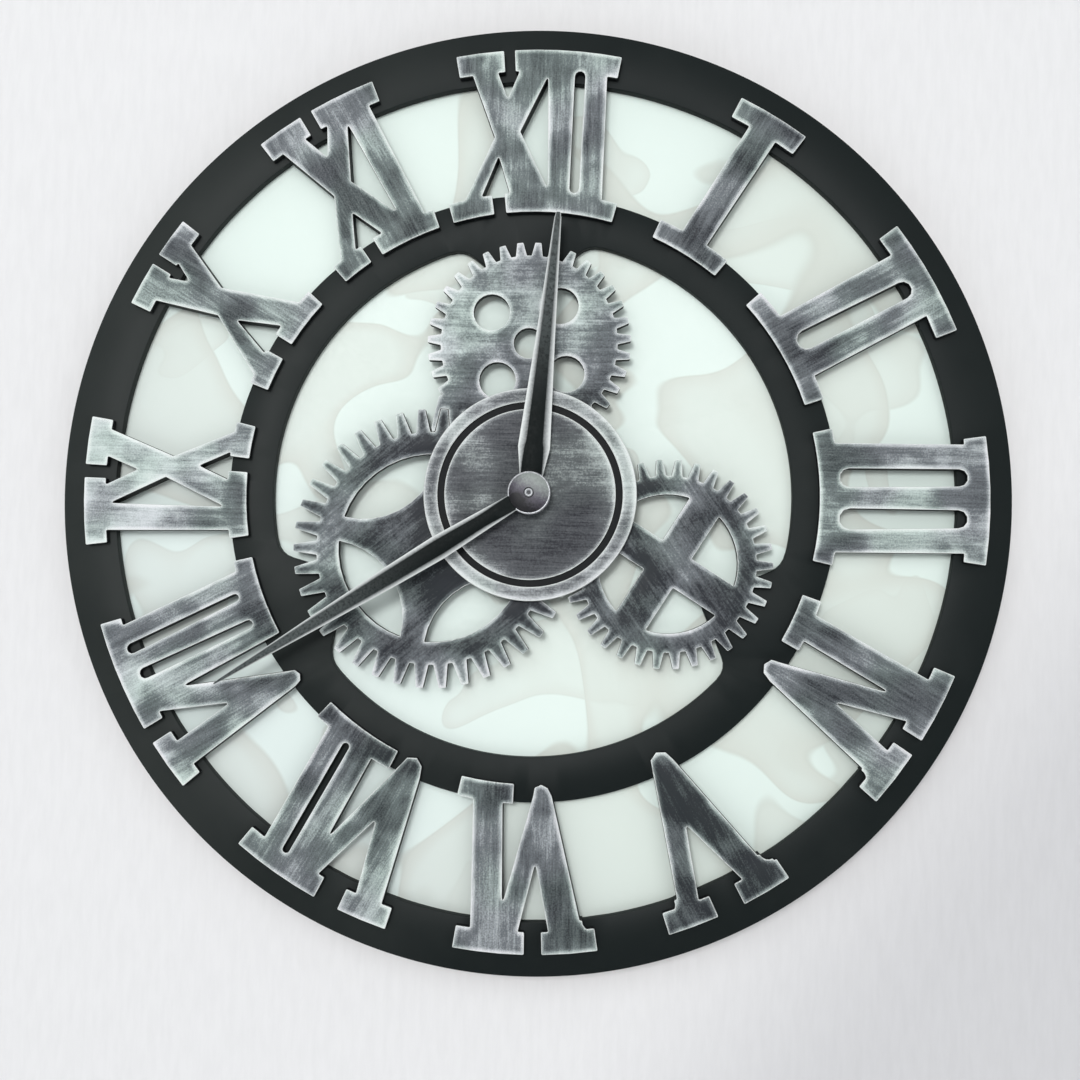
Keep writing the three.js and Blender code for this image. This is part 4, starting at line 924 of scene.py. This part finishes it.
def spun(points: list[Vector], axis: Triple, steps: int) -> BMesh:
    """Spins a line of points a full turn about an axis through the origin.

    Args:
        points: The line. A closed one ends where it starts.
        axis: The axis.
        steps: Steps of the turn.

    Returns:
        The mesh.
    """
    bm = bmesh.new()
    closed = points[0] == points[-1]
    verts = [bm.verts.new(point) for point in (points[:-1] if closed else points)]
    ends = verts[1:] + verts[:1] if closed else verts[1:]
    edges = [bm.edges.new(pair) for pair in zip(verts, ends)]
    bmesh.ops.spin(bm, geom=verts + edges, cent=(0.0, 0.0, 0.0), axis=axis, angle=math.tau, steps=steps,
                   use_merge=True)
    bmesh.ops.remove_doubles(bm, verts=bm.verts, dist=SPIN_WELD)
    settle(bm)
    return bm


def turned(name: str, profile: list[Point2], steps: int, materials: list[Material]) -> Object:
    """Makes a piece by spinning a closed profile of radii and distances from the wall about the dial's axis."""
    loop = [dial_point(radius, 0.0, depth) for radius, depth in [*profile, profile[0]]]
    return store(spun(loop, (0.0, 1.0, 0.0), steps), name, materials)


def dress(node: str, material: Material) -> None:
    """Gives a carried-over node a new finish.

    Args:
        node: The node's name.
        material: The finish.
    """
    mesh = frame["nodes"][node].data
    mesh.materials.clear()
    mesh.materials.append(material)
    LOG.info("%s dressed in %s", node, material.name)


# Sub-assemblies


@dataclass
class Dial:
    """Black cut-out plate, mottled panel behind it and the twelve numerals."""

    plate_ease: float = 0.5 * MM
    # Paleness of each numeral's inner and outer ends, hour by hour: partly random differences in the dry-brushing, and
    # partly painted highlight on the outer ends at the left, strongest at IX
    inner_tones: tuple[float, ...] = (0.0, -0.01, 0.03, -0.03, -0.09, -0.02, -0.07, -0.03, 0.03, 0.0, 0.0, 0.0)
    outer_tones: tuple[float, ...] = (-0.05, 0.05, 0.11, 0.06, -0.07, 0.02, 0.09, 0.13, 0.26, 0.03, 0.04, 0.07)

    def build(self) -> None:
        """Makes and dresses the boards."""
        lacquer = BlackLacquer().build()
        raw = RawBoard().build()
        plain = BoardCut(rings=True, radius=0.0, ease=self.plate_ease)
        plain.refine("dial_plate", [lacquer, lacquer, lacquer])
        plain.refine("back_panel", [MottledPanel().build(), raw, raw])
        sides = Solid("black_board_side", (0.007, 0.008, 0.009), 0.6, specular=0.2).build()
        for hour, inner, outer in zip(range(1, HOURS + 1), self.inner_tones, self.outer_tones):
            paint = AntiqueSilver(f"numeral_silver_{hour:02d}", Direction.STROKE, inner_pale=inner,
                                  outer_pale=outer).build()
            BoardCut(hour=hour).refine(f"numeral_{hour:02d}", [paint, sides, sides])
        dress("gear_carrier", lacquer)


@dataclass
class Gears:
    """Three decorative gears and the grooved disc at the centre. The disc's sizes are in millimetres."""

    ease: float = 0.35 * MM
    corner_r: float = 0.55 * MM
    reach: float = 0.7 * MM
    # Painted shade near the disc: how much darker the gears are there, and from and to which distance beyond the
    # disc's edge, in millimetres
    shaded: float = 0.15
    shade_from: float = -4.0
    shade_to: float = 38.0
    disc_r: float = 55.5
    disc_bore_r: float = 4.4
    disc_round: float = 1.0
    groove_round: Point2 = (0.5, 0.4)
    groove_inner_r: float = 44.5
    groove_outer_r: float = 48.2
    groove_depth: float = 1.5
    disc_steps: int = 160

    def build(self) -> None:
        """Makes and dresses the gears and the disc."""
        sides = Solid("black_gear_side", (0.006, 0.007, 0.008), 0.6, specular=0.15).build()
        finishes = {
            "top_gear": self.paint("top_gear_silver", Direction.FLAT, 0.0, 0.12),
            "left_gear": self.paint("left_gear_silver", Direction.SLOPED, 40.0, -0.02),
            "right_gear": self.paint("right_gear_silver", Direction.SLOPED, -55.0, -0.03),
        }
        for node, finish in finishes.items():
            BoardCut(ease=self.ease, radius=self.corner_r).refine(node, [finish.build(), sides, sides])
        self.build_disc(sides)

    def paint(self, name: str, direction: Direction, slope: float, pale: float) -> AntiqueSilver:
        """Gives a gear's finish, with painted shade that makes it darker near the disc.

        Args:
            name: The finish's name.
            direction: How it was brushed.
            slope: Slope of the brush in degrees.
            pale: Lightness away from the disc.

        Returns:
            The finish.
        """
        return AntiqueSilver(name, direction, slope=slope, inner_pale=pale - self.shaded, outer_pale=pale,
                             inner_r=(self.disc_r + self.shade_from) * MM,
                             outer_r=(self.disc_r + self.shade_to) * MM, reach=self.reach)

    def build_disc(self, black: Material) -> None:
        """Spins the grooved disc.

        Args:
            black: Finish of the groove and of the disc's side.
        """
        rear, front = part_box("centre_disc")
        low, high = -front.y / MM, -rear.y / MM
        bore, edge, soft = self.disc_bore_r, self.disc_r, self.disc_round
        inner, outer, floor = self.groove_inner_r, self.groove_outer_r, high - self.groove_depth
        wide, deep = self.groove_round
        paint = AntiqueSilver("disc_silver", Direction.FLAT, dark=(0.016, 0.018, 0.023), mid=(0.097, 0.107, 0.111),
                              light=(0.42, 0.46, 0.45), warm=(1.01, 0.985, 1.03), cool=(0.98, 1.01, 1.0),
                              inner_pale=-0.03, outer_pale=0.13, inner_r=30.0 * MM, outer_r=54.0 * MM,
                              along=66.0, across=1300.0, rub=5.0 * MM, smudge=26.0, level=0.485).build()
        profile = [
            (bore, low), (edge, low), (edge, high - soft), (edge - 0.3 * soft, high - 0.3 * soft), (edge - soft, high),
            (outer + wide, high), (outer, high - deep), (outer, floor),
            (inner, floor), (inner, high - deep), (inner - wide, high), (bore, high),
        ]
        piece = turned("centre_disc_face", profile, self.disc_steps, [paint, black])
        self.mark_disc(piece)
        stand_for(piece, "centre_disc")

    def mark_disc(self, piece: Object) -> None:
        """Gives the disc its black groove, side and rear.

        Args:
            piece: The disc.
        """
        for face in piece.data.polygons:
            radius = math.hypot(face.center.x, face.center.z) / MM
            in_groove = self.groove_inner_r < radius < self.groove_outer_r
            if in_groove or abs(face.normal.y) < UPRIGHT or face.normal.y > LEVEL:
                face.material_index = DiscSlot.BLACK


@dataclass
class HandShape:
    """One hand, in millimetres and degrees.

    Attributes:
        node: The hand's node.
        angle: Its angle from twelve, clockwise.
        length: Length from the axis to the tip.
        profile: Distances from the axis and the half widths there.
        tip_half: Half width of the tip.
        rear: Distance of its rear from the wall.
        bore: Radius of its bore.
        bright_share: Share of its width that the bevels take.
        dome: Height of the hub's dome.
        thickness: Thickness of the blade.
        slope_drop: How far a bevel falls to the edge.
        rows: Rows of faces along the blade.
    """

    node: str
    angle: float
    length: float
    profile: tuple[Point2, ...]
    tip_half: float
    rear: float
    bore: float
    bright_share: float
    dome: float
    thickness: float = 1.2
    slope_drop: float = 0.75
    rows: int = 48

    def half_width(self, along: float) -> float:
        """Gives the blade's half width at a distance from the axis.

        Args:
            along: Distance in millimetres.

        Returns:
            Half of the width in millimetres.
        """
        points = [*self.profile, (self.length, self.tip_half)]
        for (a, wa), (b, wb) in zip(points, points[1:]):
            if along <= b:
                share = max(0.0, (along - a) / (b - a))
                return wa + (wb - wa) * share
        return self.tip_half


@dataclass
class Hands:
    """Hour and minute hands, in millimetres: black centre bands between bright bevelled edges, on round hubs."""

    hub_r: float = 11.0
    hub_steps: int = 96
    rim_width: float = 0.7
    rim_depth: float = 0.4
    rim_chamfer: float = 0.3
    rim_round: tuple[Point2, ...] = ((0.0, -0.35), (-0.15, -0.08), (-0.4, 0.05))
    seat_lift: float = 0.05
    dome_shape: tuple[Point2, ...] = ((1.0, 0.0), (0.93, 0.30), (0.83, 0.58), (0.70, 0.80), (0.55, 0.93), (0.40, 0.99))
    band_fade: Point2 = (0.28, 0.8)
    blade_reach: float = 21.0
    blade_overlap: float = 1.5
    swell_from: float = 0.3
    swell_length: float = 16.0
    eye_r: float = 2.4
    eye_hole_r: float = 0.75
    eye_rear: float = 41.6
    eye_height: float = 1.6
    eye_gap: float = 0.3
    eye_round: tuple[Point2, ...] = ((0.0, -0.6), (-0.15, -0.25), (-0.45, -0.04), (-0.75, 0.0))
    eye_funnel: tuple[Point2, ...] = ((0.45, -0.10), (0.12, -0.32), (0.0, -0.6))
    hour: HandShape = field(default_factory=lambda: HandShape(
        node="hour_hand", angle=4.5, length=147.0, profile=((9.0, 5.9), (24.0, 8.3), (79.0, 5.1), (144.5, 1.8)),
        tip_half=1.2, rear=36.7, bore=2.65, bright_share=0.48, dome=0.0))
    minute: HandShape = field(default_factory=lambda: HandShape(
        node="minute_hand", angle=237.5, length=189.0,
        profile=((9.0, 4.3), (54.0, 6.3), (84.0, 5.5), (133.0, 3.4), (186.0, 0.7)),
        tip_half=0.4, rear=40.3, bore=1.7, bright_share=0.38, dome=1.5))

    def build(self) -> None:
        """Makes both hands and the round nut on them."""
        rim = Solid("hub_rim", (0.46, 0.47, 0.49), 0.4, 0.3, grain=1100.0, contrast=0.3).build()
        for shape in (self.hour, self.minute):
            hub = HubPaint(shape.angle, f"{shape.node}_hub_grey_painted_light").build()
            band = HandBand(shape.node + "_band", *(share * shape.length * MM for share in self.band_fade)).build()
            top = (shape.rear + shape.thickness) * MM
            bright = HandBevel(shape.node + "_bevel", top - shape.slope_drop * MM, top).build()
            self.build_hand(shape, [band, bright, hub, rim])
        self.build_eye()

    def build_hand(self, shape: HandShape, materials: list[Material]) -> None:
        """Makes one hand from its blade and its hub.

        Args:
            shape: The hand.
            materials: Finishes of the band, of the edges, of the hub and of its rim.
        """
        blade = self.build_blade(shape, materials)
        rear, front = shape.rear, shape.rear + shape.thickness
        rim, bore = self.hub_r, shape.bore
        seat = self.eye_r + self.eye_gap
        inner = rim - self.rim_width
        edge = [(rim + across, front + up) for across, up in self.rim_round]
        dome = [(inner * share, front + shape.dome * height) for share, height in self.dome_shape]
        floor = front + self.seat_lift
        hub = turned(shape.node + "_hub", [
            (bore, rear), (rim - self.rim_chamfer, rear), (rim, rear + self.rim_chamfer), *edge, *dome,
            (seat, front + shape.dome), (seat, floor), (bore, floor),
        ], self.hub_steps, materials)
        for face in hub.data.polygons:
            radius = math.hypot(face.center.x, face.center.z) / MM
            on_rim = radius > inner and -face.center.y / MM > front - self.rim_depth
            turn = math.degrees(math.atan2(face.center.x, face.center.z)) - shape.angle
            by_blade = abs((turn + 180.0) % 360.0 - 180.0) < self.blade_reach
            front_slot = HandSlot.BAND if by_blade else HandSlot.RIM
            face.material_index = front_slot if on_rim else HandSlot.HUB
        stand_for(self.join(blade, hub, shape.node + "_blade"), shape.node)

    def build_eye(self) -> None:
        """Makes the small round nut, which has an eye in its rounded top."""
        steel = Solid("eye_steel", (0.27, 0.28, 0.29), 0.4, 0.6, grain=900.0).build()
        rear, top = self.eye_rear, self.eye_rear + self.eye_height
        outside = [(self.eye_r + across, top + up) for across, up in self.eye_round]
        funnel = [(self.eye_hole_r + across, top + up) for across, up in self.eye_funnel]
        piece = turned("cap_nut_eye", [(self.eye_hole_r, rear), (self.eye_r, rear), *outside, *funnel],
                       self.hub_steps // 2, [steel])
        stand_for(piece, "cap_nut")

    def join(self, first: Object, second: Object, name: str) -> Object:
        """Joins two meshes into one piece.

        Args:
            first: One object.
            second: The other, with the same material slots.
            name: Name of the result.

        Returns:
            The joined piece.
        """
        bm = bmesh.new()
        for piece in (first, second):
            bm.from_mesh(piece.data)
        materials = list(first.data.materials)
        for piece in (first, second):
            bpy.data.objects.remove(piece)
        return store(bm, name, materials)

    def build_blade(self, shape: HandShape, materials: list[Material]) -> Object:
        """Lofts the blade over a grid and closes it below.

        Args:
            shape: The hand.
            materials: Band and edge finishes.

        Returns:
            The blade.
        """
        bm = bmesh.new()
        columns = (-1.0, -1.0 + shape.bright_share, 0.0, 1.0 - shape.bright_share, 1.0)
        bmesh.ops.create_grid(bm, x_segments=len(columns) - 1, y_segments=shape.rows, size=1.0)
        turn = Matrix.Rotation(math.radians(-shape.angle), 2)
        start = self.hub_r - self.blade_overlap
        front = shape.rear + shape.thickness
        for vert in bm.verts:
            column = columns[round((vert.co.x + 1.0) * (len(columns) - 1) / 2.0)]
            along = start + (shape.length - start) * (vert.co.y + 1.0) / 2.0
            half = shape.half_width(along)
            depth = front - (shape.slope_drop if abs(column) == 1.0 else 0.0)
            if 0.0 < abs(column) < 1.0:
                swell = self.swell_from + (1.0 - self.swell_from) * (along - self.hub_r) / self.swell_length
                column = math.copysign(1.0 - shape.bright_share * min(1.0, swell), column)
            spot = turn @ Vector((column * half, along))
            vert.co = dial_point(spot.x, spot.y, depth)
        for face in bm.faces:
            edge_column = any(abs(v.co.y + (front - shape.slope_drop) * MM) < WELD for v in face.verts)
            face.material_index = HandSlot.BEVEL if edge_column else HandSlot.BAND
        for point in points_of(bmesh.ops.extrude_face_region(bm, geom=bm.faces[:])["geom"]):
            point.co.y = -shape.rear * MM
        settle(bm)
        for face in bm.faces:
            if face.normal.y > LEVEL:
                face.material_index = HandSlot.BAND
            elif abs(face.normal.y) < UPRIGHT:
                face.material_index = HandSlot.BEVEL
        return store(bm, shape.node + "_raw", materials)


@dataclass
class Movement:
    """Quartz movement behind the dial, its fastenings, and its battery and spring in millimetres."""

    battery_steps: int = 64
    nub_r: float = 2.75
    nub_height: float = 1.0
    nub_round: float = 0.25
    nub_foot: float = 0.2
    ring_r: float = 5.2
    ring_step: float = 0.3
    flat_round: tuple[Point2, ...] = ((-0.7, 0.3), (-0.2, 0.5), (0.0, 1.1))
    nub_end_round: tuple[Point2, ...] = ((0.0, -1.2), (-0.2, -0.6), (-0.7, -0.4))
    band_length: float = 11.0
    spring_turns: int = 3
    spring_steps: int = 28
    wire_r: float = 0.28
    wire_sides: int = 8
    spring_tip_r: float = 1.9

    def build(self) -> None:
        """Dresses the movement's nodes and makes its battery and spring."""
        case = Solid("case_plastic", (0.016, 0.016, 0.018), 0.5, grain=1400.0, depth=0.1 * MM,
                     soften=0.45 * MM).build()
        nylon = Solid("nylon", (0.78, 0.76, 0.68), 0.5, grain=600.0, contrast=0.04).build()
        brass = Solid("brass", (0.62, 0.43, 0.14), 0.3, 0.95, grain=500.0).build()
        steel = Solid("steel", (0.50, 0.51, 0.53), 0.3, 0.95, grain=500.0).build()
        dark_steel = Solid("dark_steel", (0.035, 0.036, 0.040), 0.45, 0.6, grain=500.0).build()
        rubber = Solid("rubber", (0.018, 0.018, 0.018), 0.85, grain=800.0).build()
        copper = Solid("enamelled_copper", (0.42, 0.12, 0.035), 0.35, 0.8, grain=900.0).build()
        board = Solid("board_green", (0.02, 0.10, 0.045), 0.45).build()
        magnet = Solid("magnet", (0.05, 0.052, 0.058), 0.4, 0.3).build()
        jacket = Solid("battery_jacket", (0.09, 0.11, 0.135), 0.3, 0.3, contrast=0.05).build()
        self.build_battery([jacket, brass, steel])
        self.build_spring(steel)
        finishes = {
            case: ("movement_case", "movement_cover", "setting_knob"),
            nylon: ("third_wheel", "seconds_wheel", "intermediate_wheel", "hour_wheel", "minute_wheel"),
            brass: ("brass_washer", "hex_nut", "centre_wheel"),
            dark_steel: ("minute_arbor",),
            steel: ("stator", "plate_contact"),
            rubber: ("rubber_gasket", "wall_bumper_1", "wall_bumper_2"),
            copper: ("drive_coil",), board: ("circuit_board",), magnet: ("rotor",),
        }
        for material, nodes in finishes.items():
            for node in nodes:
                dress(node, material)

    def build_battery(self, materials: list[Material]) -> None:
        """Spins the battery: a jacket with rounded shoulders and a band, bare ends and a nub.

        Args:
            materials: Finishes of the jacket, of the band and of the ends.
        """
        low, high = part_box("battery")
        middle = 0.5 * (low + high) / MM
        half = 0.5 * (high.x - low.x) / MM
        radius = 0.5 * (high.z - low.z) / MM
        top = half - self.nub_height
        profile = [
            (0.0, -half), (self.ring_r, -half), (self.ring_r + self.ring_step, self.ring_step - half),
            *((radius + across, along - half) for across, along in self.flat_round), (radius, top - self.band_length),
            *((radius + across, top + along) for across, along in self.nub_end_round),
            (self.ring_r, top - 0.4), (self.ring_r, top - 0.1), (self.nub_r + self.nub_foot, top),
            (self.nub_r, top + self.nub_foot), (self.nub_r, half - self.nub_round),
            (self.nub_r - self.nub_round, half), (0.0, half),
        ]
        bm = spun([Vector((along, 0.0, r)) * MM for r, along in profile], (1.0, 0.0, 0.0), self.battery_steps)
        bmesh.ops.translate(bm, verts=bm.verts, vec=middle * MM)
        for face in bm.faces:
            spot = face.calc_center_median() / MM - middle
            bare = abs(face.normal.x) > LEVEL or math.hypot(spot.y, spot.z) < self.ring_r
            long_slot = BatterySlot.BAND if spot.x > top - self.band_length else BatterySlot.JACKET
            face.material_index = BatterySlot.END if bare else long_slot
        stand_for(store(bm, "battery_cell", materials), "battery")

    def build_spring(self, steel: Material) -> None:
        """Winds the conical spring that presses on the battery's flat end.

        Args:
            steel: Its finish.
        """
        low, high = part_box("spring_contact")
        middle = 0.5 * (low + high)
        wide = 0.5 * (high.z - low.z) / MM - self.wire_r
        climb = (high.x - low.x) / MM - 2.0 * self.wire_r
        steps = self.spring_turns * self.spring_steps
        bm = bmesh.new()
        ring = bmesh.ops.create_circle(bm, segments=self.wire_sides, radius=self.wire_r * MM)["verts"]
        stand = Matrix.Translation((low.x + self.wire_r * MM, middle.y, middle.z + wide * MM))
        bmesh.ops.transform(bm, matrix=stand @ turn_about(90.0, "X"), verts=ring)
        bmesh.ops.spin(bm, geom=ring + bm.edges[:], cent=middle, axis=(1.0, 0.0, 0.0), steps=steps,
                       dvec=(climb * MM / steps, 0.0, 0.0), angle=math.tau * self.spring_turns)
        for vert in bm.verts:
            share = min(1.0, max(0.0, (vert.co.x - low.x) / (high.x - low.x)))
            arm = Vector((0.0, vert.co.y - middle.y, vert.co.z - middle.z))
            arm *= 1.0 - share * (1.0 - self.spring_tip_r / wide)
            vert.co.y, vert.co.z = middle.y + arm.y, middle.z + arm.z
        bmesh.ops.holes_fill(bm, edges=rim_of(bm), sides=0)
        settle(bm)
        stand_for(store(bm, "spring_coil", [steel]), "spring_contact")


@dataclass
class Studio:
    """Wall, floor, lamps, surroundings and the camera.

    Attributes:
        lens: Focal length in millimetres.
        sensor: Width of the sensor in millimetres.
        foot: Place on the dial that the camera stands over, in millimetres.
        dial_front: Distance of the plate's front from the wall, in millimetres.
        distance: Distance of the camera from there, in millimetres.
        tilt: Turn upwards in degrees.
        pan: Turn to the side in degrees.
        roll: Turn about the view in degrees.
        wall_half: Half of the width of the wall and of the floor, in metres.
        floor_drop: Depth of the floor below the clock's centre, in metres.
        world_colour: Colour of the surroundings.
        world_light: Their strength as light.
        world_seen: Their strength as seen and reflected.
    """

    lens: float = 41.333
    sensor: float = 36.0
    foot: Point2 = (32.25, -52.25)
    dial_front: float = 21.3
    distance: float = 651.0
    tilt: float = 2.54
    pan: float = 2.40
    roll: float = 1.3
    wall_half: float = 4.0
    floor_drop: float = 1.15
    world_colour: Colour = (0.96, 0.98, 1.0)
    world_light: float = 0.33
    world_seen: float = 0.76

    def build(self) -> None:
        """Sets up everything round the clock."""
        self.build_stage()
        self.build_lamps()
        self.build_camera()
        bpy.context.scene.view_settings.view_transform = "Standard"

    def build_stage(self) -> None:
        """Makes the wall behind the clock and the floor far below it."""
        floor = Solid("stage_floor", (0.74, 0.74, 0.75), 0.9, grain=60.0, contrast=0.02)
        below = Matrix.Translation((0.0, -self.wall_half, -self.floor_drop))
        for finish, place in ((PlainWall(), turn_about(90.0, "X")), (floor, below)):
            bm = bmesh.new()
            bmesh.ops.create_grid(bm, x_segments=1, y_segments=1, size=self.wall_half)
            bmesh.ops.transform(bm, matrix=place, verts=bm.verts)
            plane = store(bm, finish.name, [finish.build()])

    def build_lamps(self) -> None:
        """Makes soft lamps at the upper left, at the right, in front and behind, and pale surroundings."""
        self.lamp("key_lamp", (-0.60, -2.4, 1.05), size=1.7, power=15.0)
        self.lamp("fill_lamp", (1.25, -2.4, 0.5), size=2.0, power=11.0)
        self.lamp("front_lamp", (-0.45, -3.05, 0.60), size=0.7, power=41.5)
        self.lamp("rear_lamp", (0.8, 2.6, 1.3), size=1.4, power=45.0)
        world = bpy.data.worlds.new("surroundings")
        bpy.context.scene.world = world
        world.use_nodes = True
        tree = Tree(world.node_tree)
        glow = world.node_tree.nodes["Background"].inputs
        ray = tree.add("LightPath").outputs
        seen = tree.math("MAXIMUM", ray["Is Camera Ray"], ray["Is Glossy Ray"])
        seen = tree.math("MAXIMUM", seen, ray["Is Transmission Ray"])
        tree.put(glow["Color"], self.world_colour)
        tree.put(glow["Strength"], tree.span(seen, 0.0, 1.0, self.world_light, self.world_seen))

    def lamp(self, name: str, place: Triple, size: float, power: float) -> None:
        """Makes one square lamp that looks at the dial.

        Args:
            name: The lamp's name.
            place: Its place in metres.
            size: Its side in metres.
            power: Its power in watts.
        """
        data = bpy.data.lights.new(name, "AREA")
        data.size = size
        data.energy = power
        lamp = bpy.data.objects.new(name, data)
        lamp.location = place
        lamp.rotation_euler = (-Vector(place)).to_track_quat("-Z", "Y").to_euler()
        bpy.context.scene.collection.objects.link(lamp)

    def build_camera(self) -> None:
        """Makes the camera at the photograph's place."""
        data = bpy.data.cameras.new("camera")
        data.lens = self.lens
        data.sensor_width = self.sensor
        camera = bpy.data.objects.new("camera", data)
        roll = turn_about(self.roll, "Z")
        view = roll @ turn_about(self.tilt, "X") @ turn_about(self.pan, "Y")
        spot = roll @ Vector((*self.foot, self.dial_front + self.distance))
        camera.matrix_world = turn_about(90.0, "X") @ Matrix.Translation(spot * MM) @ view
        bpy.context.scene.collection.objects.link(camera)
        bpy.context.scene.camera = camera


def main() -> None:
    """Builds the clock's pieces in order."""
    logging.basicConfig(level=logging.INFO, format="%(name)s: %(message)s")
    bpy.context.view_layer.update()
    for assembly in (Dial(), Gears(), Hands(), Movement(), Studio()):
        assembly.build()
        LOG.info("%s done", type(assembly).__name__)


if __name__ == "__main__":
    main()
